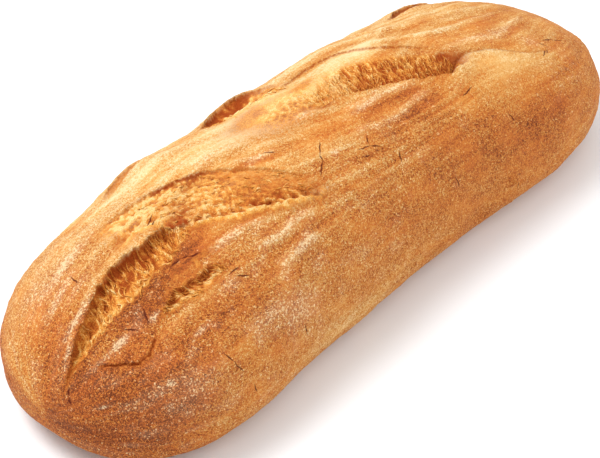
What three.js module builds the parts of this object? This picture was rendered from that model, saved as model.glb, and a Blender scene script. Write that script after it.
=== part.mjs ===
// A rustic wheat loaf: one long free-standing loaf whose crust was scored with slanting cuts before baking.
// The cuts opened in the oven, so the solid has raised lips, torn hollows and a folded crease.
// Millimetres, +Z up. The loaf lies along X on its flat base, and its front side faces -Y.
import * as THREE from "three";
import { mergeVertices } from "three/addons/utils/BufferGeometryUtils.js";

// Driving dimensions of the smooth loaf
const LENGTH = 350;
const WIDTH = 122; // across the fullest part, before the waist is drawn in
const HEIGHT = 77;
const BELLY = 23; // height of the widest line above the base
const BASE_SINK = 2; // the rounded underside is cut flat this far up
const BEND = 8.5; // sideways bow of the loaf's axis
const WAIST = 0.085; // share of the width that is lost at the middle
const TAPER = 0.018; // share of the width that the far end loses and the near end gains

// Bluntness of the ends in plan, of the crown's fall and of the two halves of the section
const NEAR_END = 6;
const FAR_END = 4.9;
const CROWN_FALL = 2.2;
const TUCK = 6;
const DOME = 2.2;
const FOOT = 3.8;

// The crust is marked out as a flat sheet: x along the loaf, s round it from the crown, + to the front.
const SHEET_PER_DEGREE = 0.9;
const DEGREE = Math.PI / 180;
const SHEET_EDGE = 180 * SHEET_PER_DEGREE;
const RELIEF_FADE = [100, 130]; // s where the relief dies out towards the base
const END_FADE = [0.955, 0.99]; // share of the half length where it dies out towards the tips

// Mesh: rings along the loaf, and points round it, closer together over the scored crown
const RINGS = 92;
const AROUND = 62;
const CROWN_SHARE = 0.64; // share of the points round the loaf that lie over the crown
const CROWN_REACH = 62; // how far the crown reaches each way in s
const EVEN_RINGS = 0.6; // 0 crowds the rings at the tips, 1 spaces them evenly
const CROWN_GAP = CROWN_REACH / ((CROWN_SHARE * AROUND) / 2); // between points over the crown
const SNAP = 0.45; // share of that gap over which a point moves onto a lip

const { clamp, smoothstep, lerp } = THREE.MathUtils;

// A line on the crust sheet, drawn as a smooth curve through a few points and read as s at a given x
class CrustLine {
  constructor(...points) {
    const samples = 20 * points.length;
    const curve = new THREE.SplineCurve(points.map(([x, s]) => new THREE.Vector2(x, s)));
    this.samples = curve.getPoints(samples);
    this.start = points[0][0];
    this.end = points.at(-1)[0];
  }
  at(x) {
    const after = this.samples.findIndex((p) => p.x >= x);
    if (after <= 0) return (after ? this.samples.at(-1) : this.samples[0]).y;
    const [a, b] = [this.samples[after - 1], this.samples[after]];
    return lerp(a.y, b.y, (x - a.x) / (b.x - a.x));
  }
  // 1 along the line, falling to 0 over the given length at each end
  within(x, fade) {
    return smoothstep(x, this.start, this.start + fade) * (1 - smoothstep(x, this.end - fade, this.end));
  }
}

// The opened cuts. The back lip stands up as an ear, the hollow is deepest at a share of its width, and the
// front lip is a low rim. Fade is how far the cut takes to open at its two tips.
const CUTS = [
  {
    name: "near hollow",
    back: new CrustLine([-169, 13], [-160, 3], [-148, -2], [-132, -4.5], [-116, -2], [-102, 1], [-92, 9]),
    front: new CrustLine([-169, 15], [-158, 11.5], [-142, 11.5], [-126, 13.5], [-110, 14], [-92, 11]),
    depth: 6.5,
    deepest: 0.3,
    ear: 1.8,
    rim: 1.4,
    fade: 14,
  },
  {
    name: "middle tear",
    back: new CrustLine([-124, -17], [-106, -21.5], [-92, -17.5], [-78, -8.5], [-64, 2], [-50, 16], [-34, 27]),
    front: new CrustLine([-124, -6], [-106, -3], [-94, 10], [-82, 19], [-66, 26], [-50, 31.5], [-34, 35]),
    depth: 2.4,
    deepest: 0.12,
    ear: 1.6,
    rim: 1,
    fade: 24,
  },
  {
    name: "far tear",
    back: new CrustLine([-14, -19], [4, -21.5], [20, -19], [36, -13], [50, -3], [62, 9], [74, 20]),
    front: new CrustLine([-14, 6], [4, 8], [20, 13.5], [36, 18], [50, 22], [62, 25], [74, 23]),
    depth: 6.5,
    deepest: 0.84,
    ear: 1.2,
    rim: 1.6,
    fade: 18,
  },
  {
    name: "back hollow",
    back: new CrustLine([-42, -33], [-32, -38], [-20, -41.5], [-9, -40], [-3, -34], [2, -24]),
    front: new CrustLine([-42, -29], [-34, -23], [-24, -20], [-12, -19], [2, -18.5]),
    depth: 6,
    deepest: 0.42,
    ear: 2.4,
    rim: 0.8,
    fade: 14,
  },
  {
    name: "near nick",
    back: new CrustLine([-98, -37], [-90, -42], [-82, -45], [-72, -44], [-62, -39]),
    front: new CrustLine([-98, -34], [-90, -35], [-82, -37], [-72, -38], [-62, -36]),
    depth: 2.5,
    deepest: 0.4,
    ear: 1.4,
    rim: 0.6,
    fade: 12,
  },
  {
    name: "far nick",
    back: new CrustLine([84, -31], [94, -35], [104, -37], [112, -34], [120, -27]),
    front: new CrustLine([84, -29], [94, -29.5], [104, -30], [112, -28], [120, -25]),
    depth: 2,
    deepest: 0.4,
    ear: 1.6,
    rim: 0.5,
    fade: 10,
  },
];
const EAR_REACH = 7; // how far back from the cut the crust is lifted by the ear
const RIM_REACH = 5;
const FULL_WIDTH = 7; // a cut narrower than this is shallower in proportion

// The crease where the front of the far end bulged up against the crust behind it
const CREASE = new CrustLine([56, 25], [66, 21.5], [78, 21.5], [92, 27], [106, 31.5], [122, 33]);
const CREASE_STEP = 3;
const CREASE_REACH = [5, 16]; // the low side falls in over the first length, the bulge dies out over the second

const LIPS = [...CUTS.flatMap((cut) => [cut.back, cut.front]), CREASE];

// Low ridges where the proofing cloth and the stretching dough left streaks
const RIDGES = [
  new CrustLine([-104, 19], [-88, 23], [-70, 30], [-50, 36]),
  new CrustLine([-96, 33], [-76, 34], [-56, 36], [-36, 40]),
  new CrustLine([-36, -3], [-16, 5], [10, 15], [34, 20]),
  new CrustLine([-32, 23], [-6, 26], [24, 27], [54, 24]),
  new CrustLine([54, -9], [74, -1], [100, 3], [132, -3]),
  new CrustLine([64, 10], [84, 15], [108, 15], [130, 9]),
];
const RIDGE_HEIGHT = 0.9;
const RIDGE_WIDTH = 2.6;
const RIDGE_FADE = 14;

// Uneven rising of the dough: slow swells, each with its wavelengths along and round the loaf
const SWELLS = [
  { along: 134, round: 118, start: 0.6, height: 0.4 },
  { along: 83, round: 71, start: 2.1, height: 0.4 },
  { along: 47, round: 58, start: 4.4, height: 0.3 },
  { along: 29, round: 37, start: 1.3, height: 0.2 },
];

// How far the loaf stands out from a regular one along its front side and its back edge, as [x, mm] pairs
const EDGES = [
  {
    s: 100,
    width: 38,
    out: new CrustLine(
      [-175, -0.8], [-132, -1], [-114, -0.5], [-96, -1.1], [-78, -2.1], [-62, -1.2], [-34, 0.1], [-16, -0.6],
      [12, -1.5], [28, -1], [44, -2.3], [60, -1], [84, -0.3], [104, 0.2], [124, -0.8], [175, -0.9],
    ),
  },
  {
    s: -36,
    width: 26,
    out: new CrustLine(
      [-175, 0.4], [-150, 0.3], [-128, 0.8], [-106, -0.8], [-86, -0.6], [-70, 2], [-54, 0.7], [-34, -1],
      [-18, -0.5], [6, -0.8], [22, 0], [42, 0.7], [64, -0.3], [86, 0.2], [106, 1.7], [122, 0.8], [175, 0.9],
    ),
  },
];

const bell = (distance, width) => Math.exp(-((distance / width) ** 2));

// How far a cut raises or lowers the crust at (x, s)
function cutRelief(cut, x, s) {
  const back = cut.back.at(x);
  const front = cut.front.at(x);
  const width = front - back;
  const open = cut.back.within(x, cut.fade) * clamp(width / FULL_WIDTH, 0, 1);
  if (open === 0) return 0;
  if (s < back) return open * cut.ear * Math.exp((s - back) / EAR_REACH);
  if (s > front) return open * cut.rim * Math.exp((front - s) / RIM_REACH);
  const share = (s - back) / width;
  const into = share < cut.deepest ? share / cut.deepest : (1 - share) / (1 - cut.deepest);
  const lips = lerp(cut.ear, cut.rim, share);
  return open * lerp(lips, -cut.depth, Math.sin((into * Math.PI) / 2));
}

// The crease is a step: the crust behind it dips and the bulge in front of it stands up
function creaseRelief(x, s) {
  const off = s - CREASE.at(x);
  const side = off < 0 ? -Math.exp(off / CREASE_REACH[0]) : 0.6 * Math.exp(-off / CREASE_REACH[1]);
  return CREASE_STEP * CREASE.within(x, RIDGE_FADE) * side;
}

function ridgeRelief(x, s) {
  return RIDGES.reduce((sum, line) => {
    return sum + RIDGE_HEIGHT * line.within(x, RIDGE_FADE) * bell(s - line.at(x), RIDGE_WIDTH);
  }, 0);
}

function swellRelief(x, s) {
  const turn = 2 * Math.PI;
  return SWELLS.reduce((sum, { along, round, start, height }) => {
    return sum + height * Math.sin((turn * x) / along + start) * Math.cos((turn * s) / round + 2 * start);
  }, 0);
}

function edgeRelief(x, s) {
  return EDGES.reduce((sum, edge) => sum + edge.out.at(x) * bell(s - edge.s, edge.width), 0);
}

// Height of all the relief above the smooth loaf
function relief(x, s) {
  const t = Math.abs(x) / (LENGTH / 2);
  const fade = (1 - smoothstep(Math.abs(s), ...RELIEF_FADE)) * (1 - smoothstep(t, ...END_FADE));
  if (fade === 0) return 0;
  const cuts = CUTS.reduce((sum, cut) => sum + cutRelief(cut, x, s), 0);
  return fade * (cuts + creaseRelief(x, s) + ridgeRelief(x, s) + swellRelief(x, s) + edgeRelief(x, s));
}

const blunt = (t, power, root) => Math.max(0, 1 - Math.abs(t) ** power) ** (1 / root);

// A point of the smooth loaf, before its underside is cut flat
function skin(x, s) {
  const t = clamp(x / (LENGTH / 2), -1, 1);
  const angle = (s / SHEET_PER_DEGREE) * DEGREE;
  const [side, up] = [Math.sin(angle), Math.cos(angle)];
  const waist = 1 - WAIST * (1 - t * t) ** 2;
  const halfWidth = (WIDTH / 2) * blunt(t, t < 0 ? NEAR_END : FAR_END, 2) * (1 - TAPER * t) * waist;
  const rise = up >= 0 ? (HEIGHT - BELLY) * blunt(t, CROWN_FALL, 2) : (BELLY + BASE_SINK) * blunt(t, TUCK, 3);
  const square = up >= 0 ? DOME : FOOT;
  const reach = (Math.abs(side) ** square + Math.abs(up) ** square) ** (-1 / square);
  const axis = BEND * (0.5 - t * t);
  return new THREE.Vector3(x, axis - halfWidth * reach * side, BELLY + rise * reach * up);
}

// The outward direction of the smooth loaf
function outward(x, s) {
  const step = 0.5;
  const along = skin(x + step, s).sub(skin(x - step, s));
  const round = skin(x, s + step).sub(skin(x, s - step));
  return round.cross(along).normalize();
}

function crustPoint(x, s) {
  const point = skin(x, s);
  const height = relief(x, s);
  if (height !== 0) point.addScaledVector(outward(x, s), height);
  point.z = Math.max(point.z, 0);
  return point;
}

// Rings are spread between even spacing and the crowding of a sphere's rings at its poles
function ringX(v) {
  return (LENGTH / 2) * lerp(Math.cos(Math.PI * v), 1 - 2 * v, EVEN_RINGS);
}

// Points round the loaf go from the base up the back, over the crown and down the front. A point that falls
// close to a lip moves onto it, so that the lip is an edge of the mesh.
function roundS(u, x) {
  const across = 2 * u - 1;
  const far = Math.abs(across);
  const even = far < CROWN_SHARE
    ? (far / CROWN_SHARE) * CROWN_REACH
    : lerp(CROWN_REACH, SHEET_EDGE, (far - CROWN_SHARE) / (1 - CROWN_SHARE));
  const s = Math.sign(across) * even;
  const lip = LIPS.find((line) => x > line.start && x < line.end && Math.abs(line.at(x) - s) < SNAP * CROWN_GAP);
  return lip ? lip.at(x) : s;
}

// Each quad of a sphere's grid is two triangles. This splits it along its other diagonal, which runs the way
// the cuts slant, so that their lips come out as clean edges. The rows at the two poles are single triangles.
function turnDiagonals(sphere) {
  const corners = Array.from(sphere.index.array);
  const polar = 3 * AROUND;
  for (let i = polar; i < corners.length - polar; i += 6) {
    const [right, left, across, , below] = corners.slice(i, i + 6);
    corners.splice(i, 6, right, left, below, right, below, across);
  }
  sphere.setIndex(corners);
}

// A sphere's grid, with its poles at the loaf's two tips, drawn over the crust
function loafGeometry() {
  const sphere = new THREE.SphereGeometry(1, AROUND, RINGS);
  const { position, uv } = sphere.attributes;
  for (let i = 0; i < position.count; i++) {
    const v = 1 - uv.getY(i);
    const onTip = v === 0 || v === 1;
    const u = onTip ? 0.5 : uv.getX(i);
    const x = ringX(v);
    position.setXYZ(i, ...crustPoint(x, roundS(u, x)));
  }
  turnDiagonals(sphere);
  sphere.deleteAttribute("normal");
  sphere.deleteAttribute("uv");
  const crust = mergeVertices(sphere, 1e-3);
  crust.computeBoundingBox();
  const { min, max } = crust.boundingBox;
  crust.translate(-(min.x + max.x) / 2, -(min.y + max.y) / 2, -min.z);
  crust.computeVertexNormals();
  return crust;
}

const crustMaterial = new THREE.MeshStandardMaterial({ color: 0xc98743, roughness: 0.72, metalness: 0 });
const loaf = new THREE.Mesh(loafGeometry(), crustMaterial);
loaf.name = "loaf";

const bread = new THREE.Group();
bread.name = "rustic_bread_loaf";
bread.add(loaf);

export default bread;
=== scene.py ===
# %% [markdown]
# # A rustic wheat loaf
# One long loaf that was slashed and then baked free on the oven floor. The solid from the frame already
# has its size and its opened cuts. Here the same shape gets a skin that is fine enough for torn crumb,
# and then the colours of a baked crust.

import bpy
import numpy as np
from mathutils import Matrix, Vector


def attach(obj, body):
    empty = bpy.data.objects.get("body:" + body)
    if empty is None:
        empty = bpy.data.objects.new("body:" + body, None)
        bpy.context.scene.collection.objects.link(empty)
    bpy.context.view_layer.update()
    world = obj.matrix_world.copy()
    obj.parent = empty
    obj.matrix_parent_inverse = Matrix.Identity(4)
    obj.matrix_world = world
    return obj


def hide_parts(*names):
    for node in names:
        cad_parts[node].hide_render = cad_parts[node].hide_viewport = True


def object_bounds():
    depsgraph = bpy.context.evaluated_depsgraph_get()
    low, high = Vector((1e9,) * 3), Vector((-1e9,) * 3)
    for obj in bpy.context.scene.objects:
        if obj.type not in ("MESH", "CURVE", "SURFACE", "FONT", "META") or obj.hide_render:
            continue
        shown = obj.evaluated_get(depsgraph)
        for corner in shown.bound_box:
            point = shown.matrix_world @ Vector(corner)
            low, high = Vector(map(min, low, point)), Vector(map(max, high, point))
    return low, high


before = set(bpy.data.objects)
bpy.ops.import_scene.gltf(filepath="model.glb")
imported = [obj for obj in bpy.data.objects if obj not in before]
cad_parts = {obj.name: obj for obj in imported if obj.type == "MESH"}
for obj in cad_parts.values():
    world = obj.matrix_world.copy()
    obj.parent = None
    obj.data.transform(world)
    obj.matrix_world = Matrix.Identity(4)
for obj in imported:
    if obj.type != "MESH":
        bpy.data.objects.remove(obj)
solid_low, solid_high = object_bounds()
MM = 1000  # mm in a metre: the loaf is drawn in mm, and Blender counts in metres
print("solid loaf, mm:", [round(MM * side, 1) for side in solid_high - solid_low])

# %% [markdown]
# ## The smooth loaf
# Dough that rises free on a flat floor becomes a dome with blunt ends, a flat base and a soft shoulder
# between. It could be sculpted, or grown from a box with a subdivision modifier. A formula is used
# instead, because its skin can be unrolled into a flat sheet: x runs along the loaf and s runs round it,
# both in mm, with s = 0 on the crown and s growing towards the front. Every cut, patch and crack below is
# drawn on that sheet.

# %% Set the sizes of the smooth loaf
LENGTH = 350
WIDTH = 122  # of the fullest part, before the waist is drawn in
HEIGHT = 77
BELLY = 23  # height of the widest line
BASE_SINK = 2  # the rounded underside is cut flat this far up
BEND = 8.5  # sideways bow of the loaf's axis
WAIST = 0.085  # share of the width lost at the middle
TAPER = 0.018  # share of the width that the far end loses and the near end gains
NEAR_END, FAR_END = 6, 4.9  # bluntness of the two ends, seen from above
CROWN_FALL, TUCK = 2.2, 6  # how late the top and the base give way towards the ends
DOME, FOOT = 2.2, 3.8  # squareness of the section above and below its widest line
SHEET_PER_DEGREE = 0.9  # mm of the sheet for each degree round the loaf
SHEET_EDGE = 180 * SHEET_PER_DEGREE  # the line along the middle of the base
print("smooth loaf:", LENGTH, "by", WIDTH, "by", HEIGHT, "mm")


# %% Shape the smooth loaf
def smooth_loaf(x, s):
    """Points of the smooth loaf in mm, before its underside is cut flat."""
    t = np.clip(x / (LENGTH / 2), -1, 1)
    turn = np.radians(s / SHEET_PER_DEGREE)
    side, up = np.sin(turn), np.cos(turn)
    end = np.where(t < 0, NEAR_END, FAR_END)
    waist = 1 - WAIST * (1 - t**2) ** 2
    half_width = WIDTH / 2 * np.sqrt(1 - np.abs(t) ** end) * (1 - TAPER * t) * waist
    crown = (HEIGHT - BELLY) * np.sqrt(1 - np.abs(t) ** CROWN_FALL)
    tuck = (BELLY + BASE_SINK) * np.cbrt(1 - np.abs(t) ** TUCK)
    square = np.where(up >= 0, DOME, FOOT)
    reach = (np.abs(side) ** square + np.abs(up) ** square) ** (-1 / square)
    y = BEND * (0.5 - t**2) - half_width * reach * side
    z = BELLY + np.where(up >= 0, crown, tuck) * reach * up
    return np.stack([x + 0 * s, y, z], axis=-1)


flanks = smooth_loaf(np.zeros(2), np.array([-90, 90]) * SHEET_PER_DEGREE)
print("waist of the smooth loaf:", round(float(np.ptp(flanks[:, 1])), 1), "mm")

# %% [markdown]
# ## Tools for drawing on the sheet
# A cut or a ridge is a smooth line through a few points of the sheet. Everything uneven is noise: random
# lumps of a chosen size. Blender has curves and noise textures for both, but this skin needs them as
# numbers, before there is a mesh to put them on.


# %% Make the fading tools
def smoothstep(value, low, high):
    """0 below low, 1 above high, and an S-shaped rise between."""
    share = np.clip((value - low) / (high - low), 0, 1)
    return share * share * (3 - 2 * share)


def bell(off, reach):
    """1 on a line, dying away on both sides of it."""
    return np.exp(-((off / reach) ** 2))


def tail(past, reach):
    """1 up to a line, dying away past it."""
    return np.exp(-np.maximum(past, 0) / reach)


print("left at half the reach:", round(bell(0.5, 1), 2), "of a bell,", round(tail(0.5, 1), 2), "of a tail")


# %% Make the line tools
def line_at(points, x):
    """s of a smooth line through the points (x, s), at each x."""
    px, ps = np.array(points, float).T
    slope = np.gradient(ps, px)
    x = np.clip(x, px[0], px[-1])
    k = np.clip(np.searchsorted(px, x) - 1, 0, len(px) - 2)
    gap = px[k + 1] - px[k]
    t = (x - px[k]) / gap
    rise = ps[k] + (ps[k + 1] - ps[k]) * t * t * (3 - 2 * t)
    return rise + gap * t * (1 - t) * (slope[k] * (1 - t) - slope[k + 1] * t)


def along_line(points, x, near_fade, far_fade):
    """1 along the line, falling to 0 over a fade in mm at each end."""
    start, end = points[0][0], points[-1][0]
    return smoothstep(x, start, start + near_fade) * (1 - smoothstep(x, end - far_fade, end))


sample = [(0, 0), (10, 4), (20, 0)]
print("a line half way up to", sample[1][1], "mm:", round(float(line_at(sample, 5)), 1), "mm")

# %% Make the lump tool
LUMP_TABLE = 97  # random leans in the table, each way
LUMP_GAIN = 1.8  # brings the noise to about -1 to 1


def lumps(x, s, size_x, size_s, seed):
    """Smooth noise with lumps of that size in mm along and round the loaf."""
    u, v = x / size_x, s / size_s
    i, j = np.floor(u).astype(int), np.floor(v).astype(int)
    leans = np.random.default_rng(seed).uniform(0, 2 * np.pi, (LUMP_TABLE, LUMP_TABLE))
    fu, fv = u - i, v - j
    wu, wv = smoothstep(fu, 0, 1), smoothstep(fv, 0, 1)
    total = 0
    for di, weight_u in ((0, 1 - wu), (1, wu)):
        for dj, weight_v in ((0, 1 - wv), (1, wv)):
            angle = leans[(i + di) % LUMP_TABLE, (j + dj) % LUMP_TABLE]
            slope = np.cos(angle) * (fu - di) + np.sin(angle) * (fv - dj)
            total = total + weight_u * weight_v * slope
    return LUMP_GAIN * total


sample = lumps(np.linspace(0, LENGTH, 999), np.zeros(999), 7, 7, seed=1)
print("lumps from", round(sample.min(), 2), "to", round(sample.max(), 2))

# %% [markdown]
# ## The near hollow
# A baker slashes the skin of the dough before it goes into the oven, and each slash opens as the loaf
# grows. This one opened widest. It could be cut out with a boolean, but that leaves clean walls that no
# bread has. So a cut is drawn as two lips on the sheet, a profile of its depth, and three lists of paint.
# The profile and the lists go from the back lip, 0, to the front lip, 1: how far the skin tore, how dark
# the tear baked, with painted shade on the walls that face away from the lamp, and how pale its crumb
# is, with painted light on the walls that face the lamp.

# %% Draw the near hollow
CUTS = {}
CUTS["near hollow"] = dict(
    back=[(-173, 18.5), (-169, 12), (-163, 5.5), (-157, 1.5), (-148, -1.2),
          (-138, -3), (-127, -4), (-116, -2), (-104, 1), (-92, 9)],
    front=[(-173, 20), (-169, 15.5), (-158, 12.5), (-144, 11.7), (-134, 12.8),
           (-124, 12.3), (-112, 13), (-103, 11.5), (-92, 10.5)],
    fade=(18, 14),  # mm over which it opens at its near and far end
    ragged=(1.1, 1.4),  # mm that the back and front lip stray
    depth=3.8,  # mm below the smooth loaf
    ear=1.2,  # mm that the back lip stands up
    step=0.8,  # mm that the crumb starts below the back lip
    rim=2.0,  # mm that the front lip stands up
    edge=(0.5, 0.5),  # how far the skin of the front lip tore, and over how many mm
    profile=[(0, 0), (0.06, 0.5), (0.15, 0.85), (0.3, 1), (0.6, 0.85), (0.86, 0.5), (0.95, 0.15), (1, 0)],
    torn=[(0, 1), (1, 1)],
    scorch_and_shade=[(0, 0.6), (0.08, 0.4), (0.2, 0.25), (0.36, 0.1), (0.5, 0), (1, 0)],
    light=[(0, 0.32), (0.2, 0.36), (0.45, 0.38), (0.7, 0.46), (0.93, 0.62), (1, 0.7)],
)
print("near hollow:", len(CUTS["near hollow"]["back"]), "points on its back lip")

# %% [markdown]
# ## The middle and the far tear
# The middle slash hardly opened. Its skin tore off in a shallow field of crumb behind a thick, scalloped
# flap. The far one has a smooth pale shelf behind, and a steep bank of fibres in front. Flap and shelf
# could be strips of mesh, laid on. But two lips, a profile and the paint can say all of this, and then the
# crust stays one skin.

# %% Draw the middle and the far tear
CUTS["middle tear"] = dict(
    back=[(-124, -17), (-112, -20.5), (-101, -20), (-90.5, -17), (-81, -12.5),
          (-67, -3), (-56, 8), (-46, 20), (-34, 27)],
    front=[(-124, -6), (-106, -3), (-98, 8), (-91, 12), (-81, 18.5),
           (-72, 22.5), (-59, 28), (-46, 32.5), (-34, 35)],
    fade=(24, 24), ragged=(0.3, 1.2), depth=1.0, ear=0.5, step=0.2, rim=2.2, edge=(0.95, 2.4),
    profile=[(0, 0), (0.04, 0.8), (0.08, 0.9), (0.5, 0.5), (0.84, 0.9), (0.92, 1), (0.98, 0.3), (1, 0)],
    torn=[(0, 0.75), (0.9, 0.75), (1, 0.85)],
    scorch_and_shade=[(0, 1), (0.04, 0.7), (0.07, 0), (0.8, 0.05), (0.9, 0.4), (0.95, 0), (1, 0)],
    light=[(0, 0.4), (0.1, 0.48), (0.8, 0.44), (0.93, 0.75), (1, 1)],
)
CUTS["far tear"] = dict(
    back=[(-14, -19), (-4, -20), (13, -21.5), (31, -17.5), (41, -12.5), (52, -5), (62, 3.5), (74, 17)],
    front=[(-14, 5), (4, 7.5), (16, 11.5), (25, 13.5), (36, 17.5), (48, 21), (60, 24), (74, 22.5)],
    fade=(18, 18), ragged=(0.15, 0.5), depth=4.2, ear=0.4, step=0.2, rim=1.6, edge=(0, 1),
    profile=[(0, 0), (0.04, 0.22), (0.12, 0.25), (0.3, 0.3), (0.4, 0.6),
             (0.65, 0.88), (0.86, 1), (0.95, 0.7), (1, 0)],
    torn=[(0, 0), (0.3, 0), (0.37, 1), (1, 1)],
    scorch_and_shade=[(0, 1), (0.03, 0.6), (0.05, 0), (0.34, 0), (0.42, 0.25), (0.7, 0.25), (0.87, 0.7), (1, 0.4)],
    light=[(0, 0.7), (0.36, 0.6), (0.5, 0.5), (0.75, 0.45), (0.9, 0.3), (1, 0.4)],
)
print("tears:", ", ".join(CUTS))

# %% [markdown]
# ## The openings on the back edge
# Seen from the front, a deep opening notches the back edge of the crown, with a small nick on either side
# of it. They could be pressed into the edge with a sculpting brush. They are cuts like the others, though,
# and so are drawn in the same way, and the two nicks share what is alike.

# %% Draw the back hollow
CUTS["back hollow"] = dict(
    back=[(-42, -33), (-32, -38), (-20, -41.5), (-9, -40), (-3, -34), (2, -24)],
    front=[(-42, -28), (-34, -22.5), (-24, -20), (-12, -18), (2, -18.5)],
    fade=(14, 14), ragged=(0.3, 0.8), depth=4.5, ear=2.2, step=1.2, rim=0.8, edge=(0.8, 1.9),
    profile=[(0, 0), (0.1, 0.6), (0.35, 1), (0.6, 0.8), (0.85, 0.3), (1, 0)],
    torn=[(0, 1), (1, 1)],
    scorch_and_shade=[(0, 0.75), (0.2, 0.5), (0.4, 0.2), (0.6, 0), (1, 0)],
    light=[(0, 0.5), (0.3, 0.6), (0.5, 0.8), (1, 0.95)],
)
print("back hollow:", CUTS["back hollow"]["depth"], "mm deep when drawn")

# %% Draw the two nicks
NICK = dict(ragged=(0.4, 0.4), edge=(0, 1), profile=[(0, 0), (0.4, 1), (1, 0)])
CUTS["near nick"] = NICK | dict(
    back=[(-98, -37), (-90, -42), (-82, -45), (-72, -44), (-62, -39)],
    front=[(-98, -34), (-90, -35), (-82, -37), (-72, -38), (-62, -36)],
    fade=(12, 12), depth=1.2, ear=1.2, step=0.5, rim=0.6,
    torn=[(0, 0.4), (1, 0.4)],
    scorch_and_shade=[(0, 0.45), (0.3, 0.3), (0.6, 0), (1, 0)],
    light=[(0, 0.5), (1, 0.8)],
)
CUTS["far nick"] = NICK | dict(
    back=[(84, -31), (94, -35), (104, -37), (112, -34), (120, -27)],
    front=[(84, -29), (94, -29.5), (104, -30), (112, -28), (120, -25)],
    fade=(10, 10), depth=1.6, ear=1.4, step=0.7, rim=0.5,
    torn=[(0, 0.7), (1, 0.7)],
    scorch_and_shade=[(0, 0.7), (0.5, 0.5), (1, 0)],
    light=[(0, 0.4), (1, 0.8)],
)
print("cuts so far:", len(CUTS))

# %% [markdown]
# ## Two cracks in front
# In front of the near hollow the crust only cracked: once into a row of flaky pits, and once in a curve
# round a crust that lifted. A crack could be painted on, but these two have pale raised lips that catch
# the light, so they are narrow cuts.

# %% Draw the front cracks
CUTS["front crack"] = dict(
    back=[(-136, 22.5), (-131, 22.5), (-125.5, 21.5), (-118.5, 21.5), (-114.5, 23), (-105, 24), (-96, 28)],
    front=[(-136, 24), (-131.5, 25), (-124, 26.7), (-116.5, 28.5), (-111, 29), (-104.5, 29), (-96, 30)],
    fade=(8, 14), ragged=(0.9, 1.1), depth=1.4, ear=0.4, step=0.3, rim=1.2, edge=(0.6, 1.1),
    profile=[(0, 0), (0.3, 1), (0.7, 0.6), (1, 0)],
    torn=[(0, 0.6), (1, 0.8)],
    scorch_and_shade=[(0, 0.5), (0.5, 0.5), (0.8, 0), (1, 0)],
    light=[(0, 0.3), (0.6, 0.6), (1, 1)],
)
CUTS["curved crack"] = dict(
    back=[(-160, 18.6), (-157.5, 22.5), (-154, 26.5), (-151, 30), (-148.5, 31),
          (-146, 31.3), (-143.5, 30.3), (-141, 28.8), (-138, 27)],
    front=[(-160, 20), (-157.5, 24.5), (-154, 28.8), (-151, 32.2), (-148.5, 33),
           (-146, 33.2), (-143.5, 32.3), (-141, 31), (-138, 29)],
    fade=(3, 3), ragged=(0.8, 1.2), depth=2.2, ear=0.4, step=0.4, rim=0.9, edge=(0.5, 0.8),
    profile=[(0, 0), (0.4, 1), (0.7, 0.8), (1, 0)],
    torn=[(0, 0.3), (1, 0.5)],
    scorch_and_shade=[(0, 1), (0.6, 0.9), (0.9, 0.2), (1, 0)],
    light=[(0, 0.2), (0.7, 0.4), (1, 0.9)],
)
print(len(CUTS), "cuts:", ", ".join(CUTS))

# %% [markdown]
# ## Points for a fine skin
# Torn crumb needs points well under a millimetre apart, but the flat base needs hardly any. A subdivided
# mesh would spend them evenly. Here the rings are spaced along the loaf's outline, which keeps the blunt
# ends round, and the points of each ring crowd together over the crown.

# %% Space the points of the skin
RINGS = 536
CALM_FROM, CALM_GAP = 80, 1.6  # beyond this x no deep cut is open, and the rings lie that much further apart
CROWN_FROM, CROWN_TO, CROWN_POINTS = -48, 44, 122
ROUND_STOPS = [-SHEET_EDGE, -130, -100, CROWN_FROM, CROWN_TO, 60, 100, 130, SHEET_EDGE]
ROUND_POINTS = [6, 7, 13, CROWN_POINTS, 11, 14, 6, 6]
OUTLINE_STEPS = 4001

fine_x = np.linspace(-LENGTH / 2, LENGTH / 2, OUTLINE_STEPS)
outline = smooth_loaf(fine_x, 90 * SHEET_PER_DEGREE)
spread = np.where(fine_x[1:] > CALM_FROM, CALM_GAP, 1)
walked = np.append(0, np.cumsum(np.linalg.norm(np.diff(outline, axis=0), axis=1) / spread))
ring_x = np.interp(np.linspace(0, walked[-1], RINGS + 2)[1:-1], walked, fine_x)
round_s = np.interp(np.arange(sum(ROUND_POINTS)), np.append(0, np.cumsum(ROUND_POINTS)), ROUND_STOPS)
X, S = np.meshgrid(ring_x, round_s, indexing="ij")
print("skin:", X.shape, "points,", round(np.diff(ring_x).max(), 2), "mm between rings at most")

# %% [markdown]
# ## Clean lips
# A lip that runs slantwise across a grid turns into a saw edge, and more points would only make smaller
# teeth. So a point that falls close to a lip moves onto it. The real lips are not straight either: skin
# tears raggedly, so each drawn line first strays a little. The crease at the far end, where the front
# bulged up against the skin behind, gets the same clean edge.

# %% Move points onto the lips
CREASE = [(54, 25), (61, 23.2), (66, 21), (72, 20.3), (81, 21.8), (92, 25), (106, 29.5), (122, 32.5)]
RAGGED = [(4, 1.0), (1.7, 0.6)]  # size of the straying in mm, and its share
SNAP = (CROWN_TO - CROWN_FROM) / CROWN_POINTS / 2  # half the gap between points over the crown
NUDGE = 0.05  # mm, for two neighbours that were moved to one place
along = X[:, :1]


def move_onto(line, lip):
    """The s of all points, with those close to the lip moved onto it."""
    runs = along_line(line, along, 1, 1) > 0
    return np.where(runs & (np.abs(lip - S) < SNAP), lip, S)


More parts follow.
